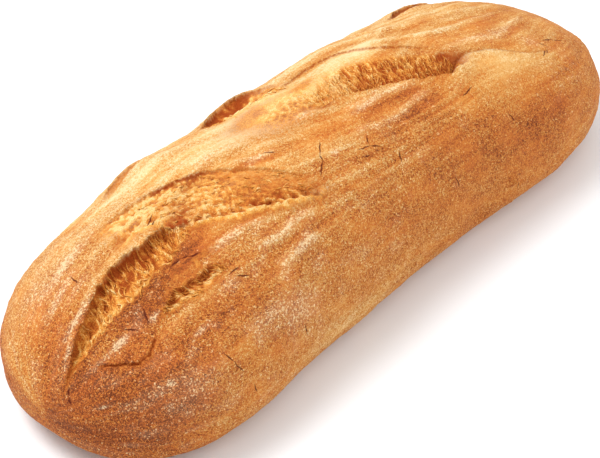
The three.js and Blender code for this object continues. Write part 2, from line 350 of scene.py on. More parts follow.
crease = line_at(CREASE, along)
S = move_onto(CREASE, crease)
lips = {}
for seed, (name, cut) in enumerate(CUTS.items()):
    stray = 0
    for k, (size, share) in enumerate(RAGGED):
        stray = stray + share * lumps(along, 0 * along, size, 1, seed + 9 * k)
    for lip_name, ragged in zip(("back", "front"), cut["ragged"]):
        lips[name, lip_name] = line_at(cut[lip_name], along) + ragged * stray
        S = move_onto(cut[lip_name], lips[name, lip_name])
together = np.diff(S, axis=1) <= 0
S[:, 1:] += NUDGE * together
print("lips:", len(lips), "and points moved apart again:", int(together.sum()))

# %% [markdown]
# ## The opened cuts
# In the oven the skin behind a cut lifts into an ear and leans over the gap, the crumb below tears, and
# the skin in front swells to a low rim. A boolean could not lift the skin round the gap. Here all of it is
# height above the smooth loaf, plus a lean along s. Then each cut gets its paint.

# %% Open the cuts
EAR_REACH, RIM_REACH = 7, 4  # mm of skin that are lifted behind and in front of a cut
EAR_LEAN, LEAN_REACH = 0.8, 2.5  # lean of an ear for its height, and how many mm of the skin lean
FULL_WIDTH, LEAST_WIDTH = 5, 0.5  # mm; a cut narrower than the first is shallower in proportion

height, lean = np.zeros_like(X), np.zeros_like(X)
openness, inside, share_of = {}, {}, {}
for name, cut in CUTS.items():
    back, front = lips[name, "back"], lips[name, "front"]
    width = np.maximum(front - back, LEAST_WIDTH)
    opened = along_line(cut["back"], X, *cut["fade"]) * np.clip(width / FULL_WIDTH, 0, 1)
    share = np.clip((S - back) / width, 0, 1)
    brink = (cut["ear"] - cut["step"]) * (1 - share) + cut["rim"] * share
    bottom = brink - (brink + cut["depth"]) * line_at(cut["profile"], share)
    behind = cut["ear"] * tail(back - S, EAR_REACH)
    before = cut["rim"] * tail(S - front, RIM_REACH)
    height += opened * np.where(S <= back, behind, np.where(S >= front, before, bottom))
    lean += opened * EAR_LEAN * cut["ear"] * (S <= back) * tail(back - S, LEAN_REACH)
    openness[name], share_of[name] = np.sqrt(opened), share
    inside[name] = openness[name] * (S > back) * (S < front)
    print(name, "is", round(-(opened * bottom).min(), 1), "mm deep")

# %% Paint the cuts
EDGE_LIGHT = 0.85  # paleness of the line where the skin of a front lip tore

# the scorch paint holds real scorch and painted shade together
torn, scorch_and_shade, light = np.zeros_like(X), np.zeros_like(X), np.zeros_like(X)
for name, cut in CUTS.items():
    edge_torn, edge_width = cut["edge"]
    torn_edge = edge_torn * openness[name] * bell(S - lips[name, "front"], edge_width)
    torn = np.maximum(torn, inside[name] * np.interp(share_of[name], *np.transpose(cut["torn"])))
    torn = np.maximum(torn, torn_edge)
    scorch_and_shade = np.maximum(scorch_and_shade, inside[name] * np.interp(share_of[name], *np.transpose(cut["scorch_and_shade"])))
    light = np.maximum(light, inside[name] * np.interp(share_of[name], *np.transpose(cut["light"])))
    light = np.maximum(light, EDGE_LIGHT * torn_edge)
print("opened share of the points:", round(float((torn > 0.3).mean()), 3))

# %% [markdown]
# ## Torn crumb in the far tear and the near hollow
# Where dough tears, it dries as strands across the gap with rough crumb between them. Both are noise:
# strands are the thin crests of lumps that are long one way and short the other. A displacement texture
# could raise them, but here the same numbers also paint: crests caught the heat late and stay pale, and
# the gaps between get painted shade, partly also scorch.

# %% Make the tearing tools
FINER, SHARPNESS = 0.35, 2.5  # share of the finer crests, and how thin all of them are


def crests(along_them, across_them, long, gap, seed):
    """Crests from 0 to 1 that are long one way and thin the other, with finer ones between them."""
    big = 1 - np.abs(lumps(along_them, across_them, long, gap, seed))
    small = 1 - np.abs(lumps(along_them, across_them, long / 2, gap / 2, seed + 1))
    return np.clip((1 - FINER) * big + FINER * small, 0, 1) ** SHARPNESS


def roughen(where, pattern, tall, paler=0, darker=0):
    """Raises a pattern, in mm, inside an area: what stands up is paler, what lies low gets painted shade and
    scorch.
    """
    height[:] += tall * where * pattern
    light[:] += paler * where * pattern
    scorch_and_shade[:] -= darker * where * pattern


sample = crests(S, X, long=8, gap=2.4, seed=10)
print("crests: mean height", round(float(sample.mean()), 2), "of 1")

# %% Tear the far tear
FIBRES_FROM = (-2, 24)  # mm along, where the far tear's whole skin gives way to fibres
FIRST_FIBRES, FIRST_LIGHT = (10, 34), 0.25  # the first fibres are paler
FIBRE_SLANT, FIBRE_STRAY = 0.5, 1.4  # mm along for each mm round, and mm that they wander
EAR_SHADE = 0.1  # share of the tear that stays dark under its ear

whole_skin = inside["far tear"] * (1 - smoothstep(X, *FIBRES_FROM))
fibrous = inside["far tear"] * torn * smoothstep(X, *FIBRES_FROM)
torn *= 1 - whole_skin
scorch_and_shade *= 1 - whole_skin * (share_of["far tear"] > EAR_SHADE)
slanted = X + FIBRE_SLANT * S + FIBRE_STRAY * lumps(X, S, 7, 5, seed=50)
fibres = crests(S, slanted, long=8, gap=2.4, seed=10) + 0.2 * lumps(X, S, 1.6, 1.6, seed=30)
roughen(fibrous, fibres - 0.5, tall=1.0, paler=0.8, darker=0.5)
light += FIRST_LIGHT * fibrous * (1 - smoothstep(X, *FIRST_FIBRES))
print("fibres cover", round(100 * float((fibrous > 0.3).mean()), 1), "% of the points")

# %% Tear the near hollow
NARROWS = (134, 154)  # mm from the loaf's middle, where the hollow becomes a paler groove
GROOVE_FADE, GROOVE_LIGHT = 0.9, 0.15  # share of the scorch and painted shade that it loses, and how much paler its crumb is

web = crests(S, X + 0.4 * S, long=7, gap=3.6, seed=60) + 0.3 * lumps(X, S, 1.7, 1.7, seed=62)
roughen(inside["near hollow"], web - 0.45, tall=1.3, paler=0.7, darker=0.45)
groove = (inside["near hollow"] > 0) * smoothstep(-X, *NARROWS)
scorch_and_shade *= 1 - GROOVE_FADE * groove
light += GROOVE_LIGHT * groove
print("the web covers", round(100 * float((inside["near hollow"] > 0.3).mean()), 1), "% of the points")

# %% [markdown]
# ## Crumb in the middle tear
# This crumb is granular, paler in its near half, and towards the far end the skin stayed on its back part.
# Behind its flap the tear is notched, where bits of crumb broke off, and the notches get painted shade.
# The torn edge of the flap is jagged. Its back lip is painted dark only along the middle, as the shade
# under its ear and partly as scorch. A sculptor would press in each crumb. Lumps of one size for each of
# these look as random, and are far less work.

# %% Roughen the middle tear
FAR_SKIN, SKIN_SHARE = (-76, -52), (0.5, 0.8)  # x from which the skin stayed, and how far across the tear
SKIN_LEFT = 0.75  # share of the crumb that it covers there

tear, share = inside["middle tear"], share_of["middle tear"]
skinned = SKIN_LEFT * tear * smoothstep(X, *FAR_SKIN) * (1 - smoothstep(share, *SKIN_SHARE))
torn *= 1 - skinned
scorch_and_shade *= 1 - skinned
from_lip = S - lips["middle tear", "back"]
crumbs = crests(X, from_lip, long=8, gap=2.0, seed=40) + 0.4 * lumps(X, S, 1.5, 1.5, seed=42)
clods = lumps(X, S, 1.6, 1.4, seed=47) + 0.5 * lumps(X, S, 5, 3, seed=48)
roughen(tear - skinned, crumbs - 0.55, tall=1.1, paler=0.75, darker=0.2)
roughen(tear - skinned, clods, tall=0.45, paler=0.3)
print("skin left on", round(100 * float(skinned.sum() / tear.sum())), "% of the middle tear")

# %% Notch the middle tear and its flap
NOTCHES_FROM, NOTCHES_TO = (0.7, 0.85), (0.93, 0.98)  # shares of the tear between which the notches lie
FLAP_FADE, FLAP_WIDTH = 24, 2.6  # mm along and across
PALE_HALF, HALF_LIGHT = (-90, -66), 0.44  # x where the paler near half gives way, and how much paler it is
DARK_LIP, LIP_FADES = [(-92, 0), (-66, 0)], (5, 14)  # the x where the back lip is dark, and its fades in mm
PLAIN_LIP = 0.75  # share of the scorch and painted shade that the rest of the lip loses

notched = tear * smoothstep(share, *NOTCHES_FROM) * (1 - smoothstep(share, *NOTCHES_TO))
# painted shade in the notches behind the flap
roughen(notched, lumps(X, S, 2.2, 2.2, seed=46), tall=0.9, darker=0.7)
flap = along_line(CUTS["middle tear"]["front"], X, FLAP_FADE, FLAP_FADE)
flap = flap * bell(S - lips["middle tear", "front"], FLAP_WIDTH)
roughen(flap, lumps(X, S, 2.6, 1.7, seed=49), tall=0.6, paler=0.3)
light += HALF_LIGHT * tear * (1 - smoothstep(X, *PALE_HALF))
scorch_and_shade *= 1 - PLAIN_LIP * tear * (share < EAR_SHADE) * (1 - along_line(DARK_LIP, X, *LIP_FADES))
print("notches lie in", int((notched > 0.3).sum()), "points")

# %% [markdown]
# ## Crumb in the other tears, and flakes
# The back hollow is knotted, the front crack is pitted, and beside and before the near hollow the skin
# peeled off in flakes. Loose chips of mesh could lie there, but a flake still hangs on the skin. So it is
# relief with an edge: what stands up above the rest is torn and pale, what lies low is whole skin.

# %% Roughen the back hollow and the front crack
knots = lumps(X, S, 4, 4, seed=52) + 0.6 * lumps(X, S, 1.9, 1.9, seed=53)
roughen(inside["back hollow"], knots, tall=0.7, paler=0.4, darker=0.4)
pits = lumps(X + 0.3 * S, S, 2.4, 3, seed=43) + 0.4 * lumps(X, S, 1.4, 1.4, seed=44)
roughen(inside["front crack"], pits, tall=1.1, paler=0.5, darker=0.7)
print("knots from", round(knots.min(), 1), "to", round(knots.max(), 1))

# %% Peel the flakes
FLAKY = [(-105, -11, 12, 8, 1), (-112, 20, 14, 4, 0.7)]  # x, s, reach along and round in mm, amount
FLAKE_TORN, FLAKE_PALE = (-0.1, 0.3), (-0.1, 0.6)  # heights over which a flake becomes torn and pale
FLAKE_LIGHT = 0.7


def patch(x, s, reach_x, reach_s, amount=1):
    """A soft spot on the sheet, with its full amount in the middle."""
    return amount * (bell(X - x, reach_x) * bell(S - s, reach_s))


peeled = sum(patch(*spot) for spot in FLAKY)
flakes = lumps(X - 0.5 * S, S + 0.6 * X, 6, 3, seed=80) + 0.6 * lumps(X, S, 2.4, 1.6, seed=81)
roughen(peeled, flakes, tall=0.8, paler=0.2, darker=0.25)
torn = np.maximum(torn, peeled * smoothstep(flakes, *FLAKE_TORN))
light += FLAKE_LIGHT * peeled * smoothstep(flakes, *FLAKE_PALE)
print("torn share of the points:", round(float((torn > 0.3).mean()), 3))

# %% [markdown]
# ## The pale crumb beside the far tear
# Between the back hollow and the far tear the skin stretched so late that it hardly browned. It is cream
# crumb with swirled wrinkles and a few orange spots. It could be a second material with a mask; as more
# crumb paint it blends into the crust by itself.

# %% Wrinkle the pale crumb
PALE_CRUMB = [  # x, s, reach along and round in mm, and paleness
    (-14, -6, 24, 10, 0.45),
    (-28, -12, 14, 6, 0.25),
    (-25, -12.5, 3.5, 2, -0.35),
    (-16, -9, 9, 5, 0.15),
    (3, -4, 7, 4, -0.25),
    (2, -13, 8, 1.8, -0.45),
    (-5, 5.5, 4, 1.6, -0.35),
]
SPOT_GAIN, SPOT_TORN = 1.6, 0.8  # how full a spot is before it fades, and how far it counts as torn
WRINKLED = (-10, -4, 22, 8)  # x, s and reach of the swirls

for x, s, reach_x, reach_s, paleness in PALE_CRUMB:
    spot = np.minimum(SPOT_GAIN * patch(x, s, reach_x, reach_s), 1)
    torn = np.maximum(torn, SPOT_TORN * spot)
    light += paleness * spot
stretched = patch(*WRINKLED)
swirls = crests(X, S + 0.3 * X, long=5, gap=2.6, seed=70)
roughen(stretched, swirls - 0.5, tall=1.2, paler=0.9)
fine_crumbs = lumps(X, S, 2.2, 1.6, seed=71) + 0.6 * lumps(X, S, 1.3, 1.1, seed=72)
roughen(stretched, fine_crumbs, tall=0.45, paler=0.3)
print("pale crumb:", len(PALE_CRUMB), "spots")

# %% [markdown]
# ## The crease
# At the far end the front of the loaf bulged up like a pillow against the skin behind it and left a
# crease. A sculptor would draw it with a crease brush. Here it is a step in height on a snapped line: a
# dip behind, a bulge in front and a little overhang. A thin painted shadow runs along the fold, the corner
# where it meets the far tear gets painted shade with some scorch, and later the pillow's edge gets a
# painted highlight.

# %% Fold the crease
CREASE_STEP, CREASE_FADE = 3.2, 7  # mm high, and mm over which it ends
DIP_REACH, BULGE, BULGE_REACH = 2.6, 0.6, 14  # mm, share of the step, mm
PILLOW_LEAN = 1.2  # mm that the pillow hangs over its crease
FLATTENS, FLAT_SHARE = (84, 116), 0.7  # mm along where the step gets lower, and by how much
NOTCH_TO, NOTCH_REACH, NOTCH_DARK = (64, 88), 3, 0.7  # the corner where the crease meets the far tear, painted dark as shade and partly scorch
FOLD_LINE, FOLD_WIDTH, FOLD_SHADOW = -0.5, 0.6, 0.75  # the thin painted shadow along the crease

past = S - crease
fold = along_line(CREASE, X, CREASE_FADE, CREASE_FADE)
step = fold * (1 - FLAT_SHARE * smoothstep(X, *FLATTENS))
height += CREASE_STEP * step * np.where(past < 0, -tail(-past, DIP_REACH), BULGE * tail(past, BULGE_REACH))
lean -= PILLOW_LEAN * step * (past >= 0) * tail(past, LEAN_REACH)
notch = step * (past < 0) * tail(-past, NOTCH_REACH) * (1 - smoothstep(X, *NOTCH_TO))
# painted shade, partly scorch, in the corner behind the crease, and a thin painted shadow along the fold
scorch_and_shade += NOTCH_DARK * notch + FOLD_SHADOW * fold * bell(past - FOLD_LINE, FOLD_WIDTH)
print("crease:", round(float(step.max() * CREASE_STEP * (1 + BULGE)), 1), "mm from dip to bulge")

# %% [markdown]
# ## Ridges, swells and the uneven outline
# Low ridges run along the loaf where the stretching skin folded; later they catch the flour. Slow swells
# and two lines of bulges keep the outline from being regular, as no loaf is. A sculptor would
# pull them up with a brush. A line with a width is as quick, and can be moved later.

# %% Raise the ridges
RIDGES = [  # line, width in mm, flour
    ([(-106, 16.5), (-100.5, 19), (-91.5, 22), (-79, 24.5), (-66, 28)], 1.5, 0.5),
    ([(-90, 30), (-82, 32), (-72.5, 34.5), (-62, 33.5), (-48, 37)], 1.7, 0.42),
    ([(-86, 46), (-78.5, 43.5), (-68, 42.5), (-54, 43)], 2.2, 0.35),
    ([(-76, -13), (-64, -10), (-54, -7.5), (-43.5, -6.5), (-30, -5)], 2.4, 0.4),
    ([(-66, -1.5), (-56, 2.5), (-52, 5.5), (-38, 9)], 1.4, 0.5),
    ([(-40, -7), (-26, -1.5), (-14, 4), (-3, 9)], 1.8, 0.7),
    ([(-6, 12), (2, 14), (15.5, 14.8), (28, 17), (42, 20)], 1.8, 0.5),
    ([(-14, 22), (-3.5, 24), (5.5, 26), (18, 26.5), (29, 25), (44, 24)], 1.7, 0.42),
    ([(-168, 8), (-163, 3), (-157, -0.8), (-148, -3.5), (-138, -5.2), (-127, -6)], 1.0, 0.45),
    ([(40, -15.5), (59.5, -9.5), (74.5, -3.5), (87, 0), (98.5, 0.5), (117.5, -0.5), (129, -3.5)], 1.6, 0.4),
    ([(53, -37), (62, -24), (76, -15.5), (94, -13), (110, -10), (124, -9)], 1.8, 0.25),
    ([(80, 11), (86.5, 12.5), (100, 15), (117, 11), (129.5, 8), (136, 6)], 2.0, 0.5),
    ([(-10, -26), (14, -29), (44, -24), (74, -18), (100, -19)], 2.4, 0.3),
]
RIDGE_HEIGHT, RIDGE_FADE = 0.8, 9  # mm high, and mm over which one ends
CREST_HIGHLIGHT, VALLEY_SHADE = -0.12, 0.1  # a crest painted lighter, as painted light, and the valley in front of it darker, as painted shade
ridge_flour, ridge_light_and_shade = np.zeros_like(X), np.zeros_like(X)
for line, width, floured in RIDGES:
    runs, off = along_line(line, X, RIDGE_FADE, RIDGE_FADE), S - line_at(line, X)
    ridge = runs * bell(off, width)
    # painted light on each crest and painted shade in the valley in front of it
    ridge_light_and_shade += CREST_HIGHLIGHT * ridge + VALLEY_SHADE * runs * bell(off - 2 * width, width)
    height += RIDGE_HEIGHT * ridge
    ridge_flour = np.maximum(ridge_flour, floured * ridge)
print("ridges:", len(RIDGES))

# %% Push the outline in and out
SWELLS = [  # length along and round in mm, start in radians, height in mm
    (134, 118, 0.6, 0.4), (83, 71, 2.1, 0.4), (47, 58, 4.4, 0.3), (29, 37, 1.3, 0.2),
]
KNOB = (66.5, 83, 2.4, 2.4, 2.0)  # a blister low on the front: x, s, reach along and round, height
FRONT_SIDE = [  # x, and mm outward along the bottom of the front side
    (-175, -0.8), (-132, -1.0), (-114, -0.5), (-96, -1.1), (-78, -2.1), (-62, -1.2), (-34, 0.1), (-16, -0.6),
    (12, -1.5), (28, -1.0), (44, -2.3), (60, -1.0), (84, -0.3), (104, 0.2), (124, -0.8), (175, -0.9),
]
BACK_EDGE = [  # x, and mm outward along the back edge of the crown
    (-175, 0.4), (-150, 0.3), (-128, 0.8), (-106, -0.8), (-86, -0.6), (-70, 2.0), (-54, 0.7), (-34, -1.0),
    (-18, -0.5), (6, -0.8), (22, 0.0), (42, 0.7), (64, -0.3), (86, 0.2), (106, 1.7), (122, 0.8), (175, 0.9),
]
BULGES = [(FRONT_SIDE, 100, 38), (BACK_EDGE, -36, 26)]  # line, its s, and its reach round in mm

for size_x, size_s, start, swell in SWELLS:
    height += swell * np.sin(2 * np.pi * X / size_x + start) * np.cos(2 * np.pi * S / size_s + 2 * start)
for bulges, at_s, reach in BULGES:
    height += line_at(bulges, X) * bell(S - at_s, reach)
height += patch(*KNOB)
print("relief from", round(height.min(), 1), "to", round(height.max(), 1), "mm")

# %% [markdown]
# ## Flow lines and grain
# The skin of the dough was drawn out as the loaf was rolled and as it rose. Fine streaks follow that pull
# in long curves over the crown, and between them the crust is faintly pebbled, like coarse paper. An image
# of streaks could be laid over it, but it would not follow the curves. So the noise is stretched along a
# flow line. The grain itself is drawn by the finish: here it is only how coarse it is at each place.

# %% Draw the streaks
FLOW = [(-175, 0), (-120, 4), (-60, 12), (-20, 22), (20, 30), (50, 29), (70, 23), (105, 26), (175, 8)]
FLOW_FADE, FRONT_FLOW = (25, 60), 0.8  # towards the front the streaks straighten by this share
NEAR_CALM, FAR_CALM, LOW_CALM = (-150, -110), (132, 162), (90, 120)  # x, x and s where the streaks die out
FRONT_FROM, FRONT_CALM = (30, 60), 0.75  # s where the front side begins, and the share lost there
BACK_FROM, BACK_CALM = (42, 75), 0.65  # the same for the back side, in mm behind the crown
PILLOW, PILLOW_CALM = (92, 34, 28, 9), 0.8  # the far bulge: x, s and its reach, and the share lost there

pillow = patch(*PILLOW)
back_side = smoothstep(-S, *BACK_FROM)
drawn = smoothstep(X, *NEAR_CALM) * (1 - smoothstep(X, *FAR_CALM)) * (1 - smoothstep(np.abs(S), *LOW_CALM))
drawn *= (1 - FRONT_CALM * smoothstep(S, *FRONT_FROM)) * (1 - BACK_CALM * back_side)
drawn *= 1 - PILLOW_CALM * pillow
flow = line_at(FLOW, X) * (1 - FRONT_FLOW * smoothstep(S, *FLOW_FADE))
streaks = drawn * (lumps(X, S - flow, 50, 5, seed=33) + 0.25 * lumps(X, S - flow, 26, 1.9, seed=34))
print("streaks from", round(streaks.min(), 1), "to", round(streaks.max(), 1))

# %% Pebble the skin, and set its grain
STREAK_HEIGHT, PEBBLE_HEIGHT, HUMP_HEIGHT = 0.35, 0.14, 0.22  # mm
SANDY_NEAR, SANDY_FRONT = (85, 135), (18, 40)  # mm towards the near end, and s, where the grain gets coarser
FAR_FRONT, FAR_FINER = (0, 90), 0.5  # x where the front gets finer again, and by what share
FINE, SANDY = 0.66, 0.26  # how coarse the grain is at least, and how much more where it is sandy
SHELF, SHELF_FINER, PILLOW_FINER = (32, -11, 30, 5), 0.4, 0.5  # the smooth shelf of the far tear, and shares

pebbles = PEBBLE_HEIGHT * lumps(X, S, 2.2, 2.2, seed=21) + HUMP_HEIGHT * lumps(X, S, 8, 6, seed=22)
height += (1 - torn) * (STREAK_HEIGHT * streaks + pebbles)
front_side = smoothstep(S, *SANDY_FRONT) * (1 - FAR_FINER * smoothstep(X, *FAR_FRONT))
sandy = np.maximum(np.maximum(smoothstep(-X, *SANDY_NEAR), front_side), back_side)
coarse = FINE + SANDY * sandy
coarse *= 1 - SHELF_FINER * patch(*SHELF) - PILLOW_FINER * pillow
coarse *= 1 + 0.35 * lumps(X, S, 15, 10, seed=23) + 0.25 * lumps(X, S - flow, 24, 3, seed=24)
print("grain from", round(coarse.min(), 2), "to", round(coarse.max(), 2))

# %% [markdown]
# ## How far each part was baked, with some painted light
# The oven browns a loaf unevenly: dark at the end that stood nearest the fire, golden over the crown,
# pale where the skin stretched late. A texture painter would brush this on. Here it is a number on each
# point, from 0, pale, to 1, dark: a few broad fields and soft patches, each with a middle, a reach along
# and round, and an amount. The same number also carries painted light and shade: lighter crests and
# darker valleys on the ridges, a highlight on the pillow's edge, and part of a pale patch low on the
# front, where the floor throws light up.

# %% Paint the baked patches
BAKED_AND_LIT_PATCHES = [
    # the near end
    (-140, -22, 25, 14, 0.15), (-118, 42, 24, 14, 0.2), (-128, 18, 22, 5, 0.26), (-104, 15, 10, 4, 0.25),
    (-152, 17, 8, 6, -0.28), (-171, 52, 8, 14, -0.1), (-142, 66, 14, 14, 0.1),
    # the far half of the front, and the far end
    (50, 60, 60, 20, 0.16), (100, 58, 20, 10, 0.12), (120, 46, 12, 8, 0.15), (80.5, 58.5, 6, 5, 0.1),
    (20, 12, 60, 16, 0.06), (150, 0, 25, 60, 0.1), (110, 4, 34, 18, 0.06),
    # low on the front; the first, paler patch is partly the crust's colour and partly painted light from the
    # floor
    (-50, 98, 40, 16, -0.2), (60, 98, 70, 16, 0.06), (136, 75, 22, 35, 0.02),
    # the pillow
    (86, 31, 30, 9, -0.26), (145, 25, 18, 18, -0.1), (116, 44, 9, 9, -0.15),
    # stretched skin
    (-26, -10, 24, 12, -0.35), (32, -11, 26, 5, -0.24), (-60, 34, 40, 6, -0.08),
    (-86, -28, 26, 10, -0.15), (-44, -14, 9, 8, -0.1),
]
SCORCH_AND_SHADOW_SPOTS = [  # small scorched places; the two at the crease's corner are partly painted shade, and the last two are painted shadows beside the knob low on the front
    (-97, 4, 4, 4, 0.8), (-91, 2, 5, 8, 0.35), (-76, -6, 9, 1.5, 0.5),
    (65, 13, 3, 2, 0.9), (71, 16, 6, 3, 0.5), (64.5, 85, 1.2, 1.6, 0.8), (60.5, 72.5, 1, 1.2, 0.5),
]
scorch_and_shade += sum(patch(*spot) for spot in SCORCH_AND_SHADOW_SPOTS)
baked = sum(patch(*spot) for spot in BAKED_AND_LIT_PATCHES)
print("patches from", round(baked.min(), 2), "to", round(baked.max(), 2))

# %% Lay down the broad tones
CROWN_TONE = 0.26
FRONT_BROWNS, FRONT_TONE = (-25, 35), 0.26  # s where the front side gets darker, and by how much
BACK_BROWNS, BACK_TONE = (42, 80), 0.26  # the same for the back side, in mm behind the crown
PILLOW_EDGE, PILLOW_HIGHLIGHT = 5, 0.27  # mm, and how strong the painted highlight on the pillow's edge is

browning_and_light = CROWN_TONE + FRONT_TONE * smoothstep(S, *FRONT_BROWNS) + BACK_TONE * smoothstep(-S, *BACK_BROWNS)
# a painted highlight along the pillow's edge
browning_and_light -= PILLOW_HIGHLIGHT * step * (past >= 0) * tail(past, PILLOW_EDGE)
print("broad tones from", round(browning_and_light.min(), 2), "to", round(browning_and_light.max(), 2))

# %% Darken the end at the fire
FIRE_FROM, FIRE_TONE, FIRE_BACK = (122, 168), 0.36, 0.55  # mm towards it, and the back side's share of it
FIRE_SIDE, FIRE_LOW = (-45, 10), (80, 130)  # s between which the skin faced the fire
LIP_TONE, LIP_REACH, LIP_RUN = 0.2, 6, (20, 14)  # the near hollow's front lip, its mm, and its fades
BASE_FROM = (110, 150)  # mm from the crown, where the even tone of the base begins
CLOUDS, MOTTLES = 0.06, 0.05  # how much the tone changes from place to place
STREAK_PALE = 0.18
FAR_TIP, TIP_TONE = (138, 168), 0.5  # one tone at the far tip, where the sheet runs together

facing_fire = smoothstep(S, *FIRE_SIDE) * (1 - smoothstep(S, *FIRE_LOW))
browning_and_light += FIRE_TONE * smoothstep(-X, *FIRE_FROM) * (FIRE_BACK + (1 - FIRE_BACK) * facing_fire)
before_hollow = S - lips["near hollow", "front"]
lip_runs = along_line(CUTS["near hollow"]["front"], X, *LIP_RUN)
browning_and_light += LIP_TONE * lip_runs * (before_hollow >= 0) * tail(before_hollow, LIP_REACH)
above_base = 1 - smoothstep(np.abs(S), *BASE_FROM)
browning_and_light += above_base * (CLOUDS * lumps(X, S, 26, 20, seed=31) + MOTTLES * lumps(X, S, 9, 6, seed=32))
browning_and_light += baked + ridge_light_and_shade - STREAK_PALE * streaks
browning_and_light += smoothstep(X, *FAR_TIP) * (TIP_TONE - browning_and_light)
print("mean browning", round(float(browning_and_light.mean()), 2))

# %% [markdown]
# ## Flour
# The loaf proved in a floured cloth. Flour stayed on the ridges, in patches that touched the cloth and
# along the lips of the near hollow, but not on crumb that tore later. A cloud of particles could settle on
# the mesh, but the flour lies flat and has baked on. So it is painted like the browning, and the finish
# breaks it into grains.

# %% Place the patches of flour
FLOUR_PATCHES = [
    # the front of the near end
    (-149, 20, 3, 1.6, 1.2), (-156, 20, 5, 1.6, 0.35), (-134, 23, 2.5, 1.5, 0.7), (-125, 39, 4, 1.2, 0.7),
    (-104, 34, 5, 2, 0.45), (-96, 54, 9, 4, 0.5), (-81, 62, 11, 8, 0.5), (-145, 62, 12, 16, 0.15),
    (-150, 48, 6, 3, 0.3), (-136, 58, 10, 6, 0.25), (-68, 34, 11, 1.8, 0.35), (-68, 43, 12, 2.2, 0.4),
    (-146, 48.5, 1.3, 1.2, 0.8), (-166.5, 43.5, 1.1, 1.1, 0.7), (-150.5, 59, 1.2, 1, 0.6),
    (-92, 22, 14, 1.6, 0.4), (-24, 24.5, 2, 1, 1.0),
    # the back of the near end
    (-137, -24, 9, 2, 0.6), (-145, -17, 9, 2, 0.6), (-140, -11, 8, 2, 0.45), (-128, -22, 12, 2, 0.45),
    (-152, -3, 8, 1.5, 0.6), (-161, 2, 4, 1.6, 0.35), (-130, -30, 22, 10, 0.2), (-147, -32, 12, 9, 0.2),
    # the crown
    (-103, -4, 6, 2, 0.7), (-66, -8, 6, 1.5, 0.4), (-52, 6, 8, 2, 0.35), (-60, -40, 60, 10, 0.22),
    (-18, 3, 7, 2.5, 0.7), (8, 16, 10, 1, 0.6), (40, -36, 60, 10, 0.15),
    # the far end, and its front, which has less
    (50, 76, 55, 26, -0.2),
    (80, 11, 9, 2, 0.35), (100, 12, 12, 2, 0.3), (116, 24, 5, 4, 0.4), (150, 10, 14, 24, 0.12),
]
flour = sum(patch(*spot) for spot in FLOUR_PATCHES)
print("patches of flour:", len(FLOUR_PATCHES))

# %% Dust the ridges and the wrinkles
WRINKLES, WRINKLE_HEIGHT, WRINKLE_DUST = (118, 42, 12, 11), 0.6, 0.8  # wrinkled skin in front of the pillow
STREAK_DUST, CLUSTER_DUST = 0.08, 0.26
RIDGE_DUST, RIDGE_GAPS = 0.9, 0.5  # flour on the ridges, and how broken it is
BARE = 1.2  # flour lost where the skin tore, and under the scorch and the painted shade

wrinkled = patch(*WRINKLES)
wrinkles = crests(X + S, S - X, long=9, gap=2.2, seed=37)
height += WRINKLE_HEIGHT * wrinkled * (wrinkles - 0.5)
flour += STREAK_DUST * streaks + WRINKLE_DUST * wrinkled * (wrinkles - 0.35)
clusters = np.clip(lumps(X, S, 11, 8, seed=38) + 0.7 * lumps(X, S, 4.5, 3.5, seed=39), 0, 1)
flour += CLUSTER_DUST * above_base * sandy * clusters
flour += ridge_flour * (RIDGE_DUST + RIDGE_GAPS * lumps(X, S, 5, 2, seed=36))
flour -= BARE * (torn + np.clip(scorch_and_shade, 0, 1))
print("floured share of the points:", round(float((flour > 0.3).mean()), 3))

# %% [markdown]
# ## The mesh
# The relief is laid on along the outward direction of the smooth loaf. It dies out towards the base and
# the tips, where a loaf is smooth, and the underside is cut flat. A displace modifier could do this on a
# plain mesh, but it would not let the ears lean.

# %% Lay the relief on the skin
RELIEF_FADE = (100, 130)  # s, where the relief dies out towards the base
END_FADE = (0.968, 0.995)  # share of the half length, where it dies out towards the tips
STEP = 0.5  # mm either way, to find the outward direction

fade = 1 - smoothstep(np.abs(S), *RELIEF_FADE)
fade *= 1 - smoothstep(np.abs(X) / (LENGTH / 2), *END_FADE)
lengthwise = smooth_loaf(X + STEP, S) - smooth_loaf(X - STEP, S)
crosswise = smooth_loaf(X, S + STEP) - smooth_loaf(X, S - STEP)
outward = np.cross(crosswise, lengthwise)
outward /= np.linalg.norm(outward, axis=-1, keepdims=True)
points = smooth_loaf(X, S + fade * lean) + (fade * height)[..., None] * outward
points[..., 2] = np.maximum(points[..., 2], 0)

tips = smooth_loaf(np.array([-LENGTH / 2, LENGTH / 2]), np.zeros(2))
vertices = np.vstack([points.reshape(-1, 3), tips])
middle = (vertices.min(axis=0) + vertices.max(axis=0)) / 2
solid_middle = MM * (solid_low.y + solid_high.y) / 2
shift = np.array([0, solid_middle - middle[1], 0])
vertices = (vertices + shift) / MM
print("skin, mm:", np.round(MM * np.ptp(vertices, axis=0), 1))

# %% [markdown]
# ## The faces
# Blender could split the squares of the skin by itself, but it does not look at the relief. Here each
# square of four points is split along the diagonal with the smaller step in height, so that the lips stay
# clean where they run slantwise. One more point closes each tip with a fan of triangles.

# %% Build the loaf
rings, around = X.shape
number = np.arange(rings * around).reshape(rings, around)
a, b = number[:-1], np.roll(number[:-1], -1, 1)
d, c = number[1:], np.roll(number[1:], -1, 1)
level = height.ravel()
level_ac = (np.abs(level[a] - level[c]) <= np.abs(level[b] - level[d]))[..., None]
first = np.where(level_ac, np.stack([a, b, c], -1), np.stack([a, b, d], -1))
second = np.where(level_ac, np.stack([a, c, d], -1), np.stack([b, c, d], -1))
triangles = np.stack([first, second], axis=2).reshape(-1, 3).tolist()
near_tip, far_tip = rings * around, rings * around + 1
triangles += [(near_tip, q, p) for p, q in zip(number[0], np.roll(number[0], -1))]
triangles += [(far_tip, p, q) for p, q in zip(number[-1], np.roll(number[-1], -1))]

